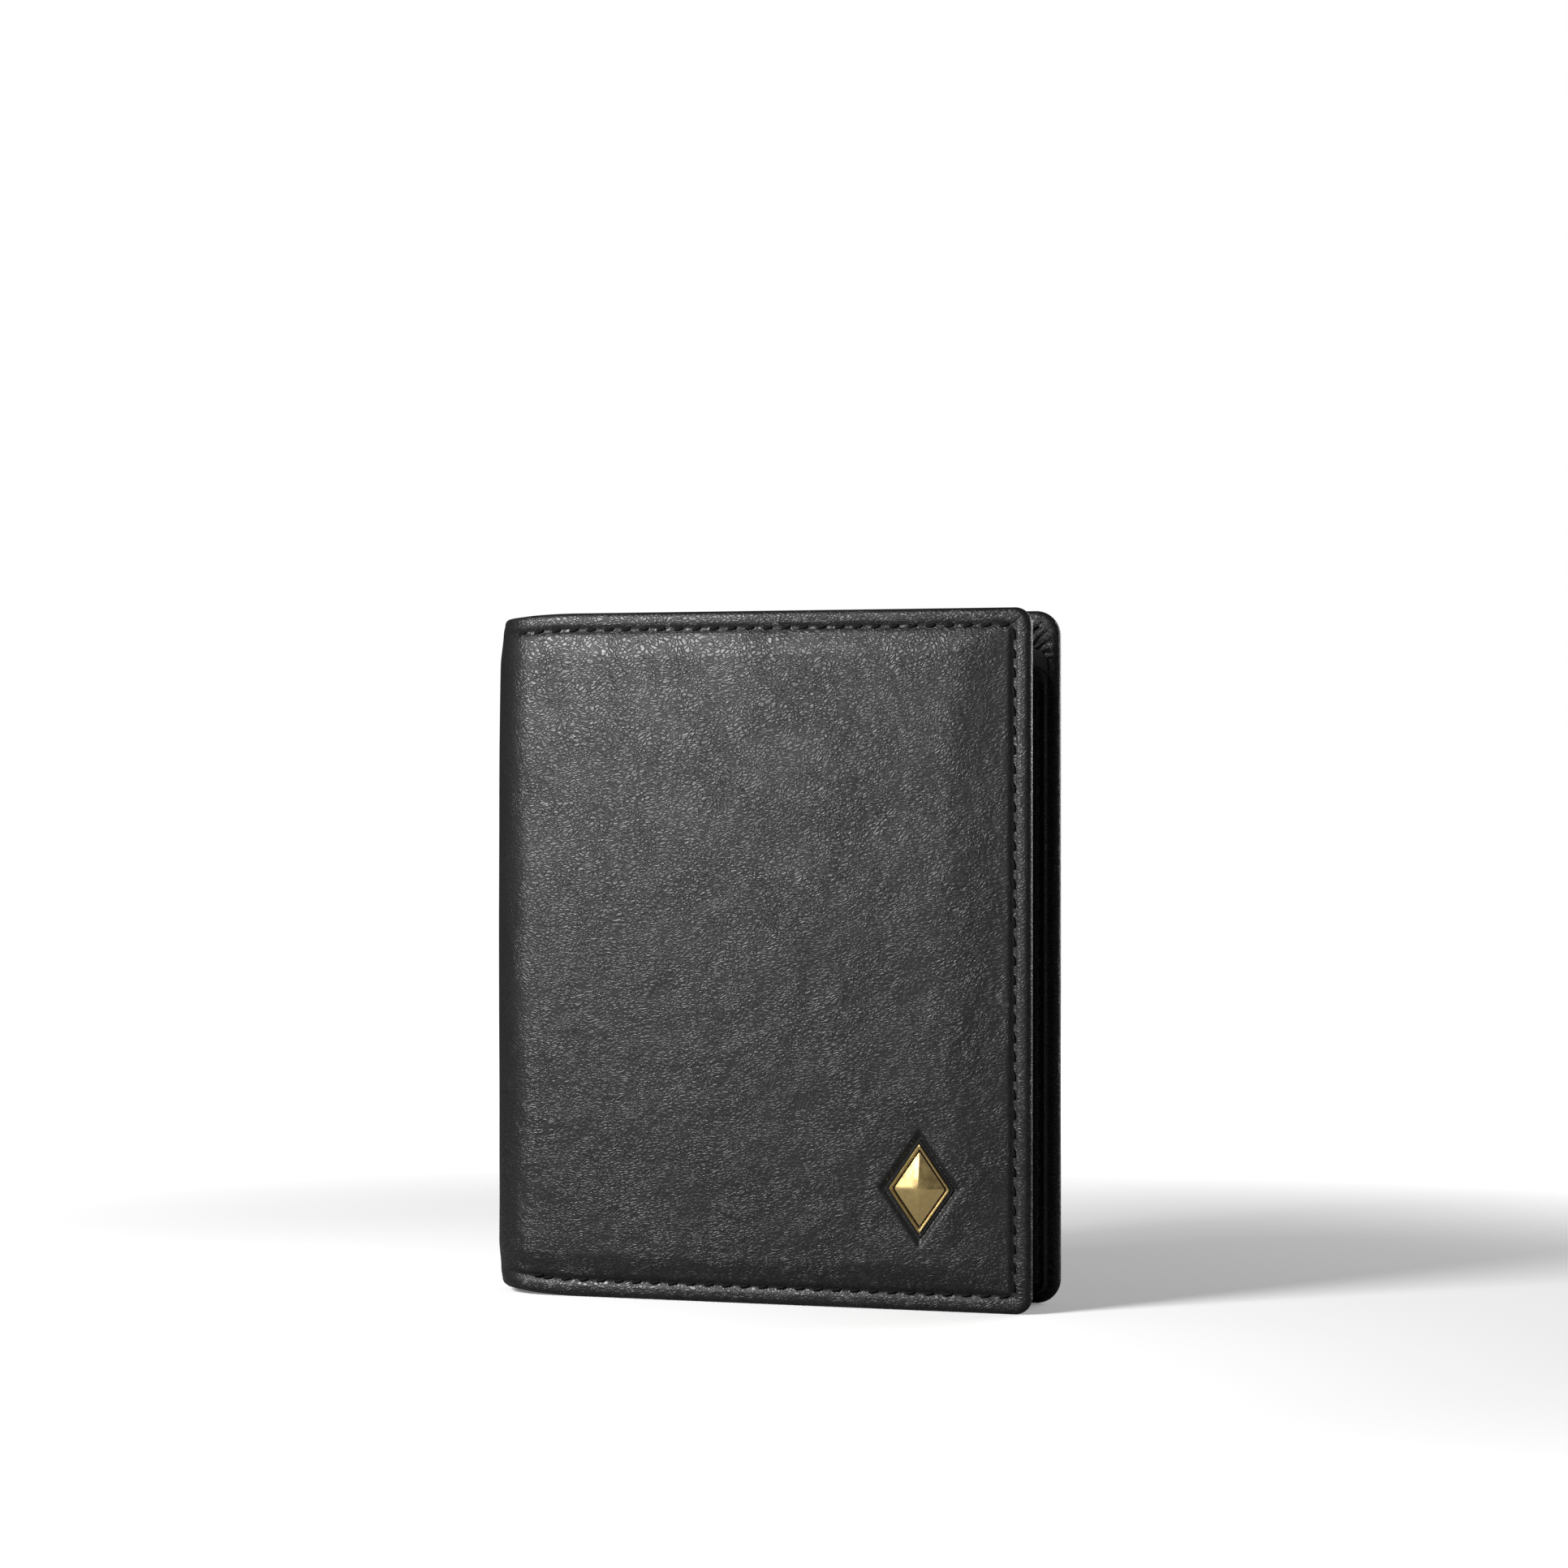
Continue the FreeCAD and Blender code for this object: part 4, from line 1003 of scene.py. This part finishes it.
def build_flap():
    """Flap leather from its sewn root on the page down over the pouch, and its edge stitches."""
    low, high, flap_near, flap_far = layer("coin_flap")
    _, anchor_high, page_face, _ = layer("coin_flap_anchor")
    middle = (low[0] + high[0]) / 2
    half = (high[0] - low[0]) / 2
    hinge_z = high[1]
    tip = 8.0
    taper = tip / (high[1] - low[1])

    def place(x, z, depth):
        width = 1 - taper * np.maximum(hinge_z - z, 0) / half
        return on_side(FRONT)(middle + (x - middle) * width, z, depth)

    def rise(z):
        return smooth((hinge_z + 1.9 - z) / 3.2)

    def near(x, z):
        return page_face + 0.05 + (flap_near - page_face) * rise(z)

    def far(x, z):
        inset = np.minimum(half - np.abs(x - middle), z - low[1])
        root = page_face + LEATHER
        return root + (flap_far - root) * rise(z) - pressed(inset, 1.7, 0.12, 0.4) - 0.02

    flap = sheet(
        "coin_flap_leather", low, (high[0], anchor_high[1]), (tip, tip, 1, 1), near, far, place, INNER,
        fine=0.25, step=0.9,
    )
    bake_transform(flap)
    stands_for(flap, "inner_leather", "coin_flap", "coin_flap_anchor")
    inset = 1.7
    x, z, _, _ = u_path(low + inset, np.array([high[0] - inset, hinge_z - 2.5]), tip - inset)
    close = np.linspace(0, len(x) - 1, 400)
    x, z = (np.interp(close, np.arange(len(x)), values) for values in (x, z))
    path = place(x, z, far(x, z)), np.tile((0.0, 1.0, 0.0), (len(x), 1))
    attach(seam("coin_flap_stitches", [path], radius=0.2, pitch=2.8, lift=0.06), "coin_flap")


# ---------------------------------------------------------------- middle page

def plane_sheet(node, name, material, radii, seed, slot="inner_leather", lip=0):
    """Sheet of the middle page in its node's place; lip presses a line below its top edge on that side."""
    low, high = box_mm(node)

    def face(y, side):
        def depth(x, z):
            line = pressed(high[2] - z, 1.7, 0.12) if lip == side else 0
            return y + 0.01 * field(x, z, 14, seed) - side * line
        return depth

    obj = sheet(
        name, low[::2], high[::2], radii, face(low[1], -1), face(high[1], 1), on_plane, material, fine=0.3,
    )
    belongs(obj, "spine_middle", slot, node)


def rounded_loop(low, high, inset, radius):
    """Closed loop round a box's (x, z) outline with round corners; loops match point for point."""
    x0, z0 = low[::2] + inset + radius
    x1, z1 = high[::2] - inset - radius
    points = []
    for cx, cz, start in ((x1, z0, -90), (x1, z1, 0), (x0, z1, 90), (x0, z0, 180)):
        for angle in np.radians(np.linspace(start, start + 90, 9)):
            points.append((cx + radius * math.cos(angle), cz + radius * math.sin(angle)))
    return np.array(points + points[:1]).T


def window_frame():
    """Leather frame round the identity window, one closed ring with round edges."""
    low, high = box_mm("window_frame")
    margin = 9.0
    outer = rounded_loop(low, high, 0, 3.0)
    inner = rounded_loop(low, high, margin, 4.0)
    face = low[1]
    back = box_mm("middle_page_core")[0][1] - 0.02
    half = (back - face) / 2
    roll = half / margin
    section = [(t, face) for t in np.linspace(roll, 1 - roll, 9)]
    for angle in np.linspace(0, math.pi, 7)[1:]:
        section.append((1 - roll + roll * math.sin(angle), face + half * (1 - math.cos(angle))))
    for angle in np.linspace(0, math.pi, 7):
        section.append((roll - roll * math.sin(angle), back - half * (1 - math.cos(angle))))
    section.append(section[0])
    rows = []
    coords = []
    for t, y in section:
        x, z = outer + (inner - outer) * t
        crease = pressed(t, 0.8, 0.13, 0.04) if y == face else 0
        rows.append(on_plane(x, z, y + crease))
        coords.append(packed(x, z) + (0 if y == face else 150))
    frame_piece = one_grid("window_frame_leather", rows, coords, INNER, 60)
    belongs(frame_piece, "spine_middle", "inner_leather", "window_frame")


def middle_binding():
    """Leather strip from the spine's lining to the middle page: a glued foot and a soft web."""
    low, high = box_mm("middle_page_binding")
    core_low, core_high = box_mm("middle_page_core")
    thick = (core_high[1] - core_low[1]) * 0.8
    foot_x = low[0] + 0.3
    reach = high[1] - 0.3
    bend = 0.9
    end = high[0] + 1.2
    skin = Skin()
    for up in (-1, 1):
        path = [(foot_x, up * y) for y in np.linspace(reach, bend + thick / 2, 5)]
        for angle in np.linspace(0, math.pi / 2, 7)[1:]:
            away = thick / 4 + bend * (1 - math.sin(angle))
            path.append((foot_x + bend * (1 - math.cos(angle)), up * away))
        for x in np.linspace(foot_x + bend, end, 14)[1:]:
            path.append((x, up * thick / 4))
        strip(skin, np.array(path), thick / 2, low[2], high[2])
    binding = shade(skin.build("middle_binding"), INNER, 60)
    belongs(binding, "spine_middle", "inner_leather", "middle_page_binding")


def strip(skin, path, thick, z0, z1):
    """Closed upright strip of leather, a little wavy, that follows a path in the XY plane."""
    tangent = np.gradient(path, axis=0)
    tangent /= np.linalg.norm(tangent, axis=1)[:, None]
    normal = np.stack([-tangent[:, 1], tangent[:, 0]], -1)
    outline = np.concatenate([path + normal * thick / 2, (path - normal * thick / 2)[::-1]])
    zs = lines(z0, z1, 2.0, ((z0, z0 + 1), (z1 - 1, z1)), 0.25)
    bow = 0.12 * np.sin((zs - z0) / (z1 - z0) * 9)
    slack = smooth((outline[:, 0] - path[0, 0]) / 2) * smooth((path[-1, 0] - outline[:, 0]) / 2)
    rows = packed(outline[:, None, 0], outline[:, None, 1] + slack[:, None] * bow, zs)
    middle = np.concatenate([path, path[::-1]])
    for end in (0, -1):
        cap = packed(middle[:, 0], middle[:, 1], zs[end])[:, None]
        rows = np.concatenate([cap, rows] if end == 0 else [rows, cap], axis=1)
    length = np.arange(len(outline))[:, None] * 0.4
    heights = np.concatenate([zs[:1], zs, zs[-1:]])
    skin.grid(rows, packed(length, heights), wrap_rows=True)


def build_middle_page():
    """Core, window, slots, stitches and the strip that holds it in the spine."""
    plane_sheet("middle_page_core", "middle_core", INNER, (0.5, 3, 3, 0.5), 81)
    plane_sheet("window_film", "window_sheet", FILM, (1, 1, 1, 1), 82, slot="clear_film")
    plane_sheet("middle_window_slot", "window_slot_strip", INNER, (0.4, 0.4, 1, 1), 83, lip=-1)
    plane_sheet("middle_card_slot_1", "middle_strip_1", INNER, (0.4, 0.4, 1, 1), 84, lip=1)
    plane_sheet("middle_card_slot_2", "middle_strip_2", INNER, (0.4, 2, 1, 1), 85, lip=1)
    window_frame()
    middle_binding()
    low, high = box_mm("middle_page_thread")
    x = (low[0] + high[0]) / 2
    z = np.linspace(low[2], high[2], 80)
    faces = (box_mm("window_frame")[0][1], box_mm("middle_card_slot_2")[1][1])
    paths = [(on_plane(x, z, y), np.tile((0.0, math.copysign(1, y), 0.0), (len(z), 1))) for y in faces]
    stitches = seam("middle_stitches", paths, radius=0.2, lift=0.05)
    belongs(stitches, "spine_middle", "thread", "middle_page_thread")


# ---------------------------------------------------------------- ornament

def lozenge(scale, grow, count=4, corner=0.35):
    """Closed loop of the ornament's outline, scaled and grown, with small round corners."""
    half_w = ORNAMENT_W * scale + grow
    half_h = ORNAMENT_H * scale + grow * ORNAMENT_H / ORNAMENT_W
    tips = np.array([(half_w, 0), (0, half_h), (-half_w, 0), (0, -half_h)], float)
    points = []
    cut = min(corner, half_w * 0.4)
    for k in range(4):
        tip = tips[k]
        before = tips[k - 1] - tip
        after = tips[(k + 1) % 4] - tip
        a = tip + before / np.linalg.norm(before) * cut
        b = tip + after / np.linalg.norm(after) * cut
        for t in np.linspace(0, 1, count):
            points.append((1 - t) ** 2 * a + 2 * t * (1 - t) * tip + t * t * b)
    points.append(points[0])
    points = np.array(points)
    return ORNAMENT_X + points[:, 0], ORNAMENT_Z + points[:, 1]


def lozenge_solid(name, levels, material, slot, node, sharp):
    """Closed solid through lozenge outlines: (scale, grow, depth) from its back to its crest."""
    rows = []
    coords = []
    for scale, grow, depth in levels:
        x, z = lozenge(scale, grow)
        rows.append(on_side(FRONT)(x, z, depth))
        coords.append(packed(x, z))
    centre = np.tile((ORNAMENT_X, ORNAMENT_Z), (len(x), 1))
    first, last = (on_side(FRONT)(*centre.T, level[2]) for level in (levels[0], levels[-1]))
    solid = one_grid(name, [first, *rows, last], [centre, *coords, centre], material, sharp)
    belongs(solid, "front_cover", slot, node)


def build_ornament():
    """Faceted gold lozenge in a dark raised base."""
    base = (
        (1, 0.62, 1.15), (1, 0.62, 0.62), (1, 0.55, 0.5), (1, 0.25, 0.46), (1, 0.14, 0.5), (1, 0.1, 0.62),
        (1, 0.02, 0.66),
    )
    lozenge_solid("ornament_bezel", base, ENAMEL, "dark_enamel", "ornament_base", 40)
    plate = (
        (1, -0.05, 0.68), (1, 0.0, 0.45), (1, -0.08, 0.24), (1, -0.28, 0.13), (1, -0.5, 0.17),
        (1, -0.66, 0.36), (1, -0.7, 0.68), (1, -1.0, 0.68), (1, -1.04, 0.42), (0.66, 0, 0.26),
        (0.4, 0, -0.1), (0.1, 0, -0.42),
    )
    lozenge_solid("ornament_lozenge", plate, GOLD, "gold_metal", "ornament_plate", 14)


def dress_hidden_nodes():
    """Node materials for the CAD parts that stay: boards, padding, rivet and clinch plate."""
    finish = {"board": BOARD, "padding": FOAM, "steel": STEEL}
    slots = {part["node"]: part["material_slot"] for part in frame["record"]["subparts"]}
    for node, obj in frame["nodes"].items():
        if obj.hide_render:
            continue
        obj.data.materials.clear()
        obj.data.materials.append(finish[slots[node]])


# ---------------------------------------------------------------- stage, light, camera

def build_stage():
    """White floor that stays white to the horizon, with soft shadows. It throws little light back."""
    mesh = bpy.data.meshes.new("floor")
    reach = 30.0
    corners = [(x * reach, y * reach, 0) for x, y in ((-1, -1), (1, -1), (1, 1), (-1, 1))]
    mesh.from_pydata(corners, [], [(0, 1, 2, 3)])
    floor = new_object("floor", mesh)
    nodes = Nodes("floor_white")
    seen = nodes.add("LightPath", {}, "Is Camera Ray")
    paper = nodes.ramp(nodes.noise(None, 3.0), 0.0, 1.0, grey(0.84), grey(0.86))
    tone = nodes.add("Mix", {0: seen, 6: grey(0.25), 7: paper}, 2, data_type="RGBA")
    away = nodes.add("VectorMath", {0: nodes.space()}, "Value", operation="LENGTH")
    glow = nodes.math("MULTIPLY", seen, nodes.step(away, 0.14, 0.42, FLOOR_GLOW, 1.0))
    mesh.materials.append(nodes.finish({
        "Base Color": tone, "Roughness": 0.9, "Specular IOR Level": 0.0,
        "Emission Color": grey(1), "Emission Strength": glow,
    }))


FLOOR_GLOW = 0.17
ROOM_LIGHT = 0.07


def softbox(name, azimuth, elevation, distance, width, height, power, aim=(0, 0, 0.06)):
    """Rectangular soft light that faces the wallet."""
    light = bpy.data.lights.new(name, "AREA")
    light.shape = "RECTANGLE"
    light.size = width
    light.size_y = height
    light.energy = power
    lamp = new_object(name, light)
    a = math.radians(azimuth)
    e = math.radians(elevation)
    back = Vector((math.sin(a) * math.cos(e), -math.cos(a) * math.cos(e), math.sin(e)))
    lamp.location = Vector(aim) + back * distance
    lamp.rotation_mode = "QUATERNION"
    lamp.rotation_quaternion = (-back).to_track_quat("-Z", "Y")


def build_lights():
    """Soft key from the front left and above, weak light from the side and behind, and a white backdrop."""
    softbox("key", -28, 19, 0.36, 0.12, 0.14, 2.1, aim=(-0.02, 0, 0.09))
    softbox("high", -38, 34, 1.2, 0.3, 0.3, 4.5)
    softbox("side", 80, 12, 0.9, 0.2, 0.5, 0.3)
    softbox("rear", 146, 11, 0.8, 0.6, 0.3, 4.5, aim=(0, 0, 0.08))
    world = bpy.data.worlds.new("studio")
    world.use_nodes = True
    tree = world.node_tree
    backdrop = tree.nodes["Background"]
    path = tree.nodes.new("ShaderNodeLightPath")
    level = tree.nodes.new("ShaderNodeMapRange")
    level.inputs["To Min"].default_value = ROOM_LIGHT
    tree.links.new(path.outputs["Is Camera Ray"], level.inputs["Value"])
    tree.links.new(level.outputs["Result"], backdrop.inputs["Strength"])
    backdrop.inputs["Color"].default_value = (1, 1, 1, 1)
    bpy.context.scene.world = world
    bpy.context.scene.view_settings.view_transform = "Standard"


def build_camera():
    """Level camera a little to the open side of the front cover."""
    azimuth = math.radians(18.5)
    distance = 0.727
    height = 0.75 * HEIGHT * MM
    data = bpy.data.cameras.new("camera")
    data.lens = 95.3
    data.sensor_width = 36
    data.shift_x = 0.0104
    data.clip_start = 0.01
    camera = new_object("camera", data)
    camera.location = (distance * math.sin(azimuth), -distance * math.cos(azimuth), height)
    camera.rotation_euler = (math.pi / 2, 0, azimuth)
    bpy.context.scene.camera = camera


build_outside()
build_pages()
build_coin_pocket()
build_middle_page()
build_ornament()
dress_hidden_nodes()
build_stage()
build_lights()
build_camera()
